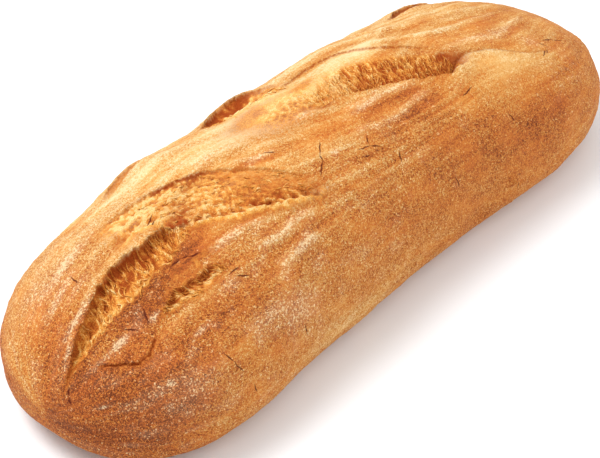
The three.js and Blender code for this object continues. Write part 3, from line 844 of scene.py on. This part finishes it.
mesh = bpy.data.meshes.new("baked_loaf")
mesh.from_pydata(vertices.tolist(), [], triangles)
mesh.shade_smooth()
loaf = bpy.data.objects.new("baked_loaf", mesh)
bpy.context.scene.collection.objects.link(loaf)
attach(loaf, "root")
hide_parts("loaf")
print("loaf:", len(mesh.polygons), "triangles")

# %% [markdown]
# ## The sheet and the paint on the mesh
# A UV map is usually unwrapped by Blender. Here it is the flat sheet that the drawing was made on, so the
# finish can find the same places. The painted numbers become attributes of the mesh, one value for each
# point, which needs no image.

# %% Lay the sheet on the mesh
sheet_u = np.append((X / LENGTH + 0.5).ravel(), [0, 1])
sheet_v = np.append((S / (2 * SHEET_EDGE) + 0.5).ravel(), [0.5, 0.5])
corner = np.zeros(len(mesh.loops), int)
mesh.loops.foreach_get("vertex_index", corner)
u, v = sheet_u[corner], sheet_v[corner]
face_v = v.reshape(-1, 3)
crosses_seam = (np.ptp(face_v, axis=1) > 0.5)[:, None]
face_v[crosses_seam & (face_v == 0)] = 1
sheet = mesh.uv_layers.new(name="OFBake")
sheet.data.foreach_set("uv", np.stack([u, v], axis=-1).ravel())
print("faces on the seam along the base:", int(crosses_seam.sum()))


# %% Put the paint on the mesh
def put_paint(on_mesh, name, values):
    """One painted number for each point of a mesh."""
    layer = on_mesh.attributes.new(name, "FLOAT", "POINT")
    layer.data.foreach_set("value", np.ravel(values).astype(np.float32))


SCORCH_AND_SHADE_DIMS = 0.5  # scorched crumb goes through orange to brown and painted shade darkens it, so both lower its paleness
light -= SCORCH_AND_SHADE_DIMS * np.clip(scorch_and_shade, 0, 1)
painted = dict(browning_and_light=browning_and_light, torn=torn, scorch_and_shade=scorch_and_shade, light=light, drawn=drawn, coarse=coarse)
painted = {name: np.clip(amount, 0, 1) for name, amount in painted.items()}
painted["flour"] = np.clip(flour, -1, 1)
for name, amount in painted.items():
    put_paint(mesh, name, np.append(amount, [amount[0].mean(), amount[-1].mean()]))
put_paint(mesh, "pull", np.append(S - flow, [0, 0]))
print("painted:", ", ".join(painted))

# %% [markdown]
# ## Loose strands of crumb
# Torn crumb is fibrous: gluten strands were pulled out of the dough as the cut opened, and they dried
# there. The mesh of the loaf is too coarse for them, and hair is not exported. So they are a piece of
# their own: short thin tubes, each curved over the skin with both ends in it. They are scattered by a
# seeded draw, the same in every run.

# %% Count out the strands
STRANDS = [  # cut, number, x range, share range, heading in radians, length in mm, thickness in mm
    ("near hollow", 210, (-156, -99), (0.06, 0.95), 2.0, 4.5, 0.65),
    ("far tear", 640, (-6, 66), (0.4, 0.95), 2.0, 4.5, 0.42),
    ("middle tear", 120, (-100, -44), (0.1, 0.9), 0.6, 3, 0.45),
    ("back hollow", 60, (-38, -2), (0.3, 0.95), 1.2, 4, 0.6),
    ("front crack", 130, (-130, -100), (0.0, 1.0), 0.9, 3.5, 0.42),
]
print("strands:", sum(count for cut, count, *sizes in STRANDS))

# %% Scatter the strands over the sheet
STATIONS = 6  # points along one strand
HEADING_SPREAD, BOW_SPREAD = 0.35, 0.25  # radians, and share of the length
HALF_LENGTHS, THICKNESSES, THIN_END = (0.3, 0.65), (0.6, 1.3), 0.25  # shares of the listed sizes
HUMPS, SINK = (-0.1, 0.8), 0.1  # mm that the middle stands up, and that the ends lie in the skin
PALENESSES = (0.35, 1.0)

draw = np.random.default_rng(7)
t = np.linspace(-1, 1, STATIONS)
arch = 1 - t * t  # 0 at both ends of a strand, 1 in its middle
strand_x, strand_s, radius, hump, paleness = [], [], [], [], []
for name, count, x_range, share_range, heading, length, thick in STRANDS:
    x = draw.uniform(*x_range, (count, 1))
    back, front = line_at(CUTS[name]["back"], x), line_at(CUTS[name]["front"], x)
    s = back + (front - back) * draw.uniform(*share_range, (count, 1))
    angle = heading + draw.normal(0, HEADING_SPREAD, (count, 1))
    half = length * draw.uniform(*HALF_LENGTHS, (count, 1))
    bow = draw.normal(0, BOW_SPREAD, (count, 1)) * half * arch
    strand_x.append(x + half * t * np.cos(angle) - bow * np.sin(angle))
    strand_s.append(s + half * t * np.sin(angle) + bow * np.cos(angle))
    tapered = THIN_END + (1 - THIN_END) * arch
    radius.append(thick / 2 * draw.uniform(*THICKNESSES, (count, 1)) * tapered)
    hump.append(draw.uniform(*HUMPS, (count, 1)) * arch - SINK)
    paleness.append(draw.uniform(*PALENESSES, (count, 1)) + 0 * arch)
strand_x, strand_s = np.concatenate(strand_x), np.concatenate(strand_s)
radius, hump, paleness = np.concatenate(radius), np.concatenate(hump), np.concatenate(paleness)
print("mean thickness of the strands:", round(2 * float(radius.mean()), 2), "mm")


# %% Lay the strands on the skin
def on_skin(x, s, grid):
    """Values of a grid over the skin, at any x and s."""
    i = np.clip(np.interp(x, ring_x, np.arange(rings)), 0, rings - 1.001)
    j = np.clip(np.interp(s, round_s, np.arange(around)), 0, around - 1.001)
    i0, j0 = i.astype(int), j.astype(int)
    fi, fj = (i - i0)[..., None], (j - j0)[..., None]
    low = grid[i0, j0] * (1 - fj) + grid[i0, j0 + 1] * fj
    high = grid[i0 + 1, j0] * (1 - fj) + grid[i0 + 1, j0 + 1] * fj
    return low * (1 - fi) + high * fi


normal = on_skin(strand_x, strand_s, outward)
path = on_skin(strand_x, strand_s, points) + hump[..., None] * normal
print("strands reach up to", round(float(path[..., 2].max()), 1), "mm")

# %% Give the strands a body
SIDES = 4  # of a strand's section, which is hardly wider than a pixel of the photograph

beside = np.cross(np.gradient(path, axis=1), normal)
beside /= np.linalg.norm(beside, axis=-1, keepdims=True) + 1e-9
turn = (np.arange(SIDES) * 2 * np.pi / SIDES)[:, None]
section = np.cos(turn) * normal[..., None, :] + np.sin(turn) * beside[..., None, :]
tubes = path[..., None, :] + radius[..., None, None] * section
number = np.arange(tubes[..., 0].size).reshape(tubes.shape[:3])
walls = [number[:, :-1], np.roll(number[:, :-1], -1, 2), np.roll(number[:, 1:], -1, 2), number[:, 1:]]
strand_faces = np.concatenate([np.stack(walls, -1).reshape(-1, 4), number[:, 0, ::-1], number[:, -1]])

strand_mesh = bpy.data.meshes.new("crumb_strands")
strand_mesh.from_pydata(((tubes + shift) / MM).reshape(-1, 3).tolist(), [], strand_faces.tolist())
strand_mesh.shade_smooth()
strands = bpy.data.objects.new("crumb_strands", strand_mesh)
bpy.context.scene.collection.objects.link(strands)
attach(strands, "root")
print("strands:", len(strand_mesh.polygons), "faces")

# %% Paint the strands
STRAND_SCORCH_AND_SHADE = 0.3  # share of the scorch and painted shade of the skin below that a strand takes on
STRAND_LIGHT, SKIN_LIGHT = 0.55, 0.65  # shares of its own paleness and of the skin's

skin_scorch_and_shade = on_skin(strand_x, strand_s, painted["scorch_and_shade"][..., None])[..., 0]
skin_light = on_skin(strand_x, strand_s, painted["light"][..., None])[..., 0]
strand_paint = dict(browning_and_light=0.5, flour=0, torn=1, drawn=0, coarse=0.5, scorch_and_shade=STRAND_SCORCH_AND_SHADE * skin_scorch_and_shade)
strand_paint["light"] = np.clip(STRAND_LIGHT * paleness + SKIN_LIGHT * skin_light, 0, 1)
for name, amount in strand_paint.items():
    put_paint(strand_mesh, name, (amount + 0 * paleness)[..., None] + np.zeros(SIDES))
print("mean paleness of the strands:", round(float(strand_paint["light"].mean()), 2))

# %% [markdown]
# ## Tools for the finish
# A material in Blender is a tree of nodes. One small function adds a node, sets it and links it, so that
# each line below says what a node does; the node editor shows the same tree as boxes and wires. Colours
# are written as in a paint chart, in sRGB, but the sockets hold linear light, so another function turns
# one into the other.


# %% Make the finishing tools
def linear(code):
    """An sRGB hex colour as the linear colour that Blender's sockets hold."""
    parts = [int(code[k : k + 2], 16) / 255 for k in (1, 3, 5)]
    return [c / 12.92 if c <= 0.04045 else ((c + 0.055) / 1.055) ** 2.4 for c in parts] + [1]


def add_node(tree, kind, inputs=None, **settings):
    """Adds a node, gives its inputs a value or a link from another node, and returns its outputs."""
    node = tree.nodes.new(kind)
    stops = settings.pop("stops", {})
    for setting, value in settings.items():
        setattr(node, setting, value)
    for stop in list(stops)[2:]:
        node.color_ramp.elements.new(stop)
    for element, stop in zip(node.color_ramp.elements if stops else [], sorted(stops)):
        element.position = stop
        element.color = linear(stops[stop])
    for socket, value in (inputs or {}).items():
        if isinstance(value, bpy.types.NodeSocket):
            tree.links.new(value, node.inputs[socket])
        else:
            node.inputs[socket].default_value = value
    return node.outputs


print("crust gold in linear light:", np.round(linear("#d18c42")[:3], 3))

# %% [markdown]
# ## Baked wheat crust: its grain
# Crust is dough that dried and browned in a dry oven. The eye sees a matt skin, speckled like sand where
# grains of flour baked on, with crumbs of skin and broad blotches. Three noises and a Voronoi texture,
# which gives each grain a shade of its own, move the browning up and down. A photographed texture would
# repeat itself and hold the light of another room. Real flour grains are about 0.1 mm: these are coarser,
# to show.

# %% Speckle the crust
SPECKLE = [  # size in mm, octaves and strength
    ("grain", 0.45, 1, 1.1),
    ("bits", 1.2, 2, 0.6),
    ("blotch", 6, 3, 0.25),
]

crust = bpy.data.materials.new("baked wheat crust")
crust.use_nodes = True
tree = crust.node_tree
tree.nodes.clear()
place = add_node(tree, "ShaderNodeTexCoord")["Object"]
paint = {name: add_node(tree, "ShaderNodeAttribute", attribute_name=name)["Fac"] for name in painted}
speckle = {}
tone = 0.0
for name, size, octaves, strength in SPECKLE:
    noise = {"Vector": place, "Scale": MM / size, "Detail": octaves}
    noise = add_node(tree, "ShaderNodeTexNoise", noise)["Fac"]
    speckle[name] = add_node(tree, "ShaderNodeMath", {0: noise, 1: 0.5}, operation="SUBTRACT")[0]
    more = {0: speckle[name], 1: strength, 2: tone}
    tone = add_node(tree, "ShaderNodeMath", more, operation="MULTIPLY_ADD")[0]
print("speckle:", ", ".join(speckle))

# %% Give each grain its shade
GRAIN_SIZE, GRAIN_TONE = 0.5, 0.5  # mm, and how far a grain changes the browning

grains = add_node(tree, "ShaderNodeTexVoronoi", {"Vector": place, "Scale": MM / GRAIN_SIZE})
shade = add_node(tree, "ShaderNodeSeparateColor", {0: grains["Color"]})[0]
speckle["shade"] = add_node(tree, "ShaderNodeMath", {0: shade, 1: 0.5}, operation="SUBTRACT")[0]
more = {0: speckle["shade"], 1: GRAIN_TONE, 2: tone}
tone = add_node(tree, "ShaderNodeMath", more, operation="MULTIPLY_ADD")[0]
browned = {0: tone, 1: paint["coarse"], 2: paint["browning_and_light"]}
tone = add_node(tree, "ShaderNodeMath", browned, operation="MULTIPLY_ADD")[0]
print("grains:", GRAIN_SIZE, "mm")

# %% [markdown]
# ## Streaks in the crust
# The pull of the dough also shows as streaks finer than the mesh. A wave texture would give rings like
# wood. A noise is stretched along the pull instead: its place is x along the sheet, and the painted
# distance from the flow line across it.

# %% Streak the crust
STREAK_LONG, STREAK_WIDE, STREAK_TONE = 15, 2.0, -0.5  # mm, mm and how far a streak changes the browning

sheet_place = add_node(tree, "ShaderNodeUVMap", uv_map="OFBake")[0]
sheet_x = add_node(tree, "ShaderNodeSeparateXYZ", {0: sheet_place})[0]
pull = add_node(tree, "ShaderNodeAttribute", attribute_name="pull")["Fac"]
along_pull = {0: sheet_x, 1: LENGTH / STREAK_LONG}
along_pull = add_node(tree, "ShaderNodeMath", along_pull, operation="MULTIPLY")[0]
across_pull = add_node(tree, "ShaderNodeMath", {0: pull, 1: 1 / STREAK_WIDE}, operation="MULTIPLY")[0]
streak_place = add_node(tree, "ShaderNodeCombineXYZ", {0: along_pull, 1: across_pull})[0]
noise = add_node(tree, "ShaderNodeTexNoise", {"Vector": streak_place, "Scale": 1, "Detail": 2})["Fac"]
centred = add_node(tree, "ShaderNodeMath", {0: noise, 1: 0.5}, operation="SUBTRACT")[0]
streak = add_node(tree, "ShaderNodeMath", {0: centred, 1: paint["drawn"]}, operation="MULTIPLY")[0]
tone = add_node(tree, "ShaderNodeMath", {0: streak, 1: STREAK_TONE, 2: tone}, operation="MULTIPLY_ADD")[0]
print("streaks:", STREAK_LONG, "by", STREAK_WIDE, "mm")

# %% [markdown]
# ## Colours of crust and crumb
# Browning sugars and proteins go from cream through gold and orange-brown to dark brown, so one colour
# ramp serves the whole skin. Torn crumb is yellower and has a ramp of its own. Two materials could meet at
# a line, but real skin frays into crumb, so the painted numbers mix the two. Scorch comes last, together
# with the painted shade that shares its paint.

# %% Colour the crust and the crumb
CRUST_RAMP = {
    0: "#eecd9a", 1: "#74391a", 0.2: "#deae6a", 0.4: "#d08f46",
    0.55: "#c87931", 0.72: "#b96127", 0.86: "#9d5022",
}
CRUMB_RAMP = {0: "#9a420e", 1: "#f6d796", 0.3: "#c06a26", 0.55: "#dc8f38", 0.8: "#edb25a"}
# the colour of scorch, also used for the painted shade in the tears and the crease
SCORCH_AND_SHADE_BROWN = "#9c410c"
CRUMB_GRAIN = 1.3
MIX_A, MIX_B, MIXED = 6, 7, 2  # the two colour inputs and the colour output of a mix node

skin_colour = add_node(tree, "ShaderNodeValToRGB", {"Fac": tone}, stops=CRUST_RAMP)["Color"]
crumb_tone = {0: speckle["grain"], 1: CRUMB_GRAIN, 2: paint["light"]}
crumb_tone = add_node(tree, "ShaderNodeMath", crumb_tone, operation="MULTIPLY_ADD")[0]
crumb_colour = add_node(tree, "ShaderNodeValToRGB", {"Fac": crumb_tone}, stops=CRUMB_RAMP)["Color"]
torn_mix = {"Factor": paint["torn"], MIX_A: skin_colour, MIX_B: crumb_colour}
colour = add_node(tree, "ShaderNodeMix", torn_mix, data_type="RGBA")[MIXED]
patchy = {0: speckle["bits"], 1: paint["scorch_and_shade"], 2: paint["scorch_and_shade"]}
patchy = add_node(tree, "ShaderNodeMath", patchy, operation="MULTIPLY_ADD", use_clamp=True)[0]
scorch_and_shade_mix = {"Factor": patchy, MIX_A: colour, MIX_B: linear(SCORCH_AND_SHADE_BROWN)}
colour = add_node(tree, "ShaderNodeMix", scorch_and_shade_mix, data_type="RGBA")[MIXED]
print("colour ramps:", len(CRUST_RAMP), "and", len(CRUMB_RAMP), "stops")

# %% [markdown]
# ## Flour on the crust
# Dry flour is nearly white, but it lies so thin that the gold shows through. Where there is much of it,
# it is a pale veil. Where there is little, only the grains that stand up have kept it. A noise of its own
# could scatter it, but then it would miss those grains, so the speckle decides where it shows.

# %% Break the flour into grains
FLOUR = "#f3d8ac"
FLOUR_GRAINS = [(speckle["grain"], -0.5), (speckle["shade"], -0.7), (speckle["bits"], -1.6), (streak, 0.6)]
SHOWS_FROM, FULL_FROM = 0.42, 0.85  # amounts of flour at which a grain begins to show and shows fully
GRAIN_COVER, VEIL_COVER = 0.72, 0.25  # how much of the crust a grain and the veil hide

dust = paint["flour"]
for noise, strength in FLOUR_GRAINS:
    dust = add_node(tree, "ShaderNodeMath", {0: noise, 1: strength, 2: dust}, operation="MULTIPLY_ADD")[0]
cover = {"Value": dust, "From Min": SHOWS_FROM, "From Max": FULL_FROM, "To Max": GRAIN_COVER}
dust = add_node(tree, "ShaderNodeMapRange", cover)[0]
veil = add_node(tree, "ShaderNodeMath", {0: paint["flour"], 1: VEIL_COVER}, operation="MULTIPLY")[0]
dust = add_node(tree, "ShaderNodeMath", {0: dust, 1: veil}, operation="MAXIMUM")[0]
flour_mix = {"Factor": dust, MIX_A: colour, MIX_B: linear(FLOUR)}
colour = add_node(tree, "ShaderNodeMix", flour_mix, data_type="RGBA")[MIXED]
print("flour grains follow", len(FLOUR_GRAINS), "noises")

# %% [markdown]
# ## Hairline cracks
# A crust shrinks as it cools, and thin cracks open across it. Cut into the mesh they would need far more
# points, so the finish draws them. A node group turns the sheet so that one crack lies along x, and fades
# from its middle to its sides and tips. A group is made once and used for every crack.

# %% Make the crack tool
CRACK_WIDTH, CRACK_SOFT = 1.0, 0.4  # mm; real ones are thinner, but would not show

crack_tool = bpy.data.node_groups.new("hairline crack", "ShaderNodeTree")
for name, kind in (("Sheet", "Vector"), ("Middle", "Vector"), ("Turn", "Float"), ("Half length", "Float")):
    crack_tool.interface.new_socket(name, in_out="INPUT", socket_type="NodeSocket" + kind)
crack_tool.interface.new_socket("Crack", in_out="OUTPUT", socket_type="NodeSocketFloat")
given = add_node(crack_tool, "NodeGroupInput")
ends = {0: given["Sheet"], 1: given["Middle"]}
off = add_node(crack_tool, "ShaderNodeVectorMath", ends, operation="SUBTRACT")[0]
turned = {"Vector": off, "Angle": given["Turn"]}
turned = add_node(crack_tool, "ShaderNodeVectorRotate", turned, rotation_type="Z_AXIS")[0]
lies = add_node(crack_tool, "ShaderNodeSeparateXYZ", {0: turned})
far = add_node(crack_tool, "ShaderNodeMath", {0: lies[0], 1: given["Half length"]}, operation="DIVIDE")[0]
far = add_node(crack_tool, "ShaderNodeMath", {0: far, 1: far}, operation="MULTIPLY")[0]
tapers = {0: far, 1: -CRACK_WIDTH / 2, 2: CRACK_WIDTH / 2}
half_width = add_node(crack_tool, "ShaderNodeMath", tapers, operation="MULTIPLY_ADD")[0]
aside = add_node(crack_tool, "ShaderNodeMath", {0: lies[1]}, operation="ABSOLUTE")[0]
spare = add_node(crack_tool, "ShaderNodeMath", {0: half_width, 1: aside}, operation="SUBTRACT")[0]
dark = {0: spare, 1: CRACK_SOFT}
dark = add_node(crack_tool, "ShaderNodeMath", dark, operation="DIVIDE", use_clamp=True)[0]
add_node(crack_tool, "NodeGroupOutput", {"Crack": dark})
print("crack tool:", len(crack_tool.nodes), "nodes")

# %% Place the cracks
CRACKS = [  # each is a line of points (x, s) on the sheet
    [(-37.5, 28), (-31.5, 24), (-31, 22), (-24.5, 17)],
    [(-14.5, 29), (-7.5, 30.5), (-3, 33)], [(-5.5, 26.5), (-7, 29.5)], [(-14, 32.5), (-11, 33.5)],
    [(4, 38.5), (2, 42.5)], [(-47.5, 6.5), (-43.5, 9)], [(53, 34), (60, 32.5)], [(70, 49), (73, 53.5)],
    [(-145, 17), (-141.5, 21.5)], [(-134.5, 17), (-137, 22.5)],
    [(-138, -17), (-139, -12)], [(-169, 16), (-170.5, 22), (-171.5, 30)],
    [(-115, 14.5), (-110, 15), (-107, 17), (-103, 18.5)],
    [(-107, -4.5), (-99, -7)], [(-105, -3), (-101, -4.5)],
    [(-101, 31.5), (-96, 32)], [(-99.5, 34), (-94.5, 37)], [(-123, 52), (-121, 58), (-118, 66)],
    [(-114, 76), (-113, 82)], [(-80, 70), (-79, 76)], [(27, 60), (28, 66)], [(66, 84), (70, 88), (69, 93)],
    [(113, 34), (119, 31)], [(124, 25), (133, 27), (140, 29)],
    [(120, 26), (123, 30)], [(117, 33), (121, 31)],
]
print("cracks:", len(CRACKS))

# %% Draw the cracks
CRACK_BROWN = "#581400"
CRACK_JOIN = 1  # mm that each piece of a crack runs on, so that they join
CRACK_STRAY, STRAY_SIZE = 1.6, 3.0  # mm that the lines stray from straight, and over what length

noise = {"Vector": place, "Scale": MM / STRAY_SIZE, "Detail": 2}
noise = add_node(tree, "ShaderNodeTexNoise", noise)["Color"]
stray = add_node(tree, "ShaderNodeVectorMath", {0: noise, 1: (0.5, 0.5, 0.5)}, operation="SUBTRACT")[0]
in_mm = {0: sheet_place, 1: (LENGTH, 2 * SHEET_EDGE, 0), 2: (-LENGTH / 2, -SHEET_EDGE, 0)}
sheet_mm = add_node(tree, "ShaderNodeVectorMath", in_mm, operation="MULTIPLY_ADD")[0]
strayed = {0: stray, 1: (CRACK_STRAY, CRACK_STRAY, 0), 2: sheet_mm}
strayed = add_node(tree, "ShaderNodeVectorMath", strayed, operation="MULTIPLY_ADD")[0]
cracked = 0.0
for crack in CRACKS:
    for (x0, s0), (x1, s1) in zip(crack, crack[1:]):
        piece = {"Sheet": strayed, "Middle": ((x0 + x1) / 2, (s0 + s1) / 2, 0)}
        piece["Turn"] = -np.arctan2(s1 - s0, x1 - x0)
        piece["Half length"] = np.hypot(x1 - x0, s1 - s0) / 2 + CRACK_JOIN
        line = add_node(tree, "ShaderNodeGroup", piece, node_tree=crack_tool)[0]
        cracked = add_node(tree, "ShaderNodeMath", {0: line, 1: cracked}, operation="MAXIMUM")[0]
crack_mix = {"Factor": cracked, MIX_A: colour, MIX_B: linear(CRACK_BROWN)}
colour = add_node(tree, "ShaderNodeMix", crack_mix, data_type="RGBA")[MIXED]
print("straight pieces of cracks:", sum(len(crack) - 1 for crack in CRACKS))

# %% [markdown]
# ## The surface of the crust
# Starch that dried hard is matt with a faint dry sheen: rough, and with little of the mirror light of
# plastic. The grains also tilt the surface a little. They are too small for the mesh, so a bump node does
# it with the same noises as the colour. The relief that can be seen as shape is all in the mesh.

# %% Finish the crust
STARCH_IOR = 1.5  # of dried starch
ROUGHNESS, GLOSS = 0.7, 0.15  # matt, and about a third of the usual mirror light
BUMP_BITS, BUMP_GRAINS, BUMP_STREAK = 1.3, -0.7, 0.6  # shares of the noises
BUMP_HEIGHT = 0.6  # mm

relief = {0: speckle["bits"], 1: BUMP_BITS, 2: speckle["grain"]}
relief = add_node(tree, "ShaderNodeMath", relief, operation="MULTIPLY_ADD")[0]
relief = {0: grains["Distance"], 1: BUMP_GRAINS, 2: relief}
relief = add_node(tree, "ShaderNodeMath", relief, operation="MULTIPLY_ADD")[0]
relief = add_node(tree, "ShaderNodeMath", {0: relief, 1: paint["coarse"]}, operation="MULTIPLY")[0]
relief = {0: streak, 1: BUMP_STREAK, 2: relief}
relief = add_node(tree, "ShaderNodeMath", relief, operation="MULTIPLY_ADD")[0]
bump = add_node(tree, "ShaderNodeBump", {"Height": relief, "Strength": 1, "Distance": BUMP_HEIGHT / MM})[0]
surface = {"Base Color": colour, "Roughness": ROUGHNESS, "Normal": bump}
surface.update({"IOR": STARCH_IOR, "Specular IOR Level": GLOSS})
surface = add_node(tree, "ShaderNodeBsdfPrincipled", surface)[0]
add_node(tree, "ShaderNodeOutputMaterial", {"Surface": surface})
for piece in (loaf, strands):
    piece.data.materials.append(crust)
print("crust:", len(tree.nodes), "nodes")

# %% [markdown]
# ## The stage
# The loaf lies on uncoated white paper, which is matt and faintly cool, in a bright room. A white sky gives
# the soft light from all sides, a large window lamp at the back left shapes the crown, and a wide
# reflector in front opens the shadows. A picture of a room could light it too, but two lamps can be set
# one by one.

# %% Lay the floor
FLOOR_HALF, FLOOR_DROP = 3, 0.0002  # metres; the drop keeps the floor and the base from sharing one plane
PAPER = "#f1f3f5"

floor_mesh = bpy.data.meshes.new("floor")
corners = [(FLOOR_HALF * i, FLOOR_HALF * j, -FLOOR_DROP) for i, j in ((-1, -1), (1, -1), (1, 1), (-1, 1))]
floor_mesh.from_pydata(corners, [], [(0, 1, 2, 3)])
floor = bpy.data.objects.new("floor", floor_mesh)
bpy.context.scene.collection.objects.link(floor)
paper = bpy.data.materials.new("white paper")
paper.use_nodes = True
paper.node_tree.nodes["Principled BSDF"].inputs["Base Color"].default_value = linear(PAPER)
floor_mesh.materials.append(paper)
print("floor:", 2 * FLOOR_HALF, "m wide")

# %% Light the stage
SKY = 0.8
LAMPS = [  # name, place in metres, size in metres, watts
    ("window", (-0.45, 0.5, 1.1), 0.7, 14),
    ("reflector", (0.4, -1.1, 0.6), 1.5, 7),
]

world = bpy.data.worlds.new("white room")
bpy.context.scene.world = world
world.use_nodes = True
world.node_tree.nodes["Background"].inputs["Color"].default_value = (1, 1, 1, 1)
world.node_tree.nodes["Background"].inputs["Strength"].default_value = SKY
for name, spot, size, watts in LAMPS:
    lamp_light = bpy.data.lights.new(name, "AREA")
    lamp_light.size = size
    lamp_light.energy = watts
    lamp = bpy.data.objects.new(name, lamp_light)
    bpy.context.scene.collection.objects.link(lamp)
    lamp.location = spot
    lamp.rotation_mode = "QUATERNION"
    lamp.rotation_quaternion = (-lamp.location).to_track_quat("-Z", "Y")
bpy.context.scene.view_settings.view_transform = "Standard"
print("lamps:", sum(watts for name, spot, size, watts in LAMPS), "W in all")

# %% [markdown]
# ## The camera
# The photograph looks down on the loaf from its near front end. A camera could be flown there by eye, but
# angles and a distance can be corrected one by one. So it goes round a point inside the loaf by the
# photograph's angles, and its lens is set so that the loaf fills an image of the same width.

# %% Place the camera
AZIMUTH, ELEVATION, DISTANCE = -50.0, 37.17, 756.7  # degrees, degrees, mm
TARGET = np.array([-35.4, -13.2, 35])  # mm
FOCAL_PIXELS, IMAGE_WIDTH, SENSOR_WIDTH = 1797, 600, 36  # pixels, pixels, mm

turn, tilt = np.radians([AZIMUTH, ELEVATION])
backward = np.array([np.sin(turn) * np.cos(tilt), -np.cos(turn) * np.cos(tilt), np.sin(tilt)])
lens = bpy.data.cameras.new("camera")
lens.sensor_width = SENSOR_WIDTH
lens.lens = FOCAL_PIXELS / IMAGE_WIDTH * SENSOR_WIDTH
camera = bpy.data.objects.new("camera", lens)
bpy.context.scene.collection.objects.link(camera)
camera.location = (TARGET + shift + DISTANCE * backward) / MM
camera.rotation_mode = "QUATERNION"
camera.rotation_quaternion = Vector(-backward).to_track_quat("-Z", "Y")
bpy.context.scene.camera = camera
print("camera at", np.round(np.array(camera.location), 3), "m")
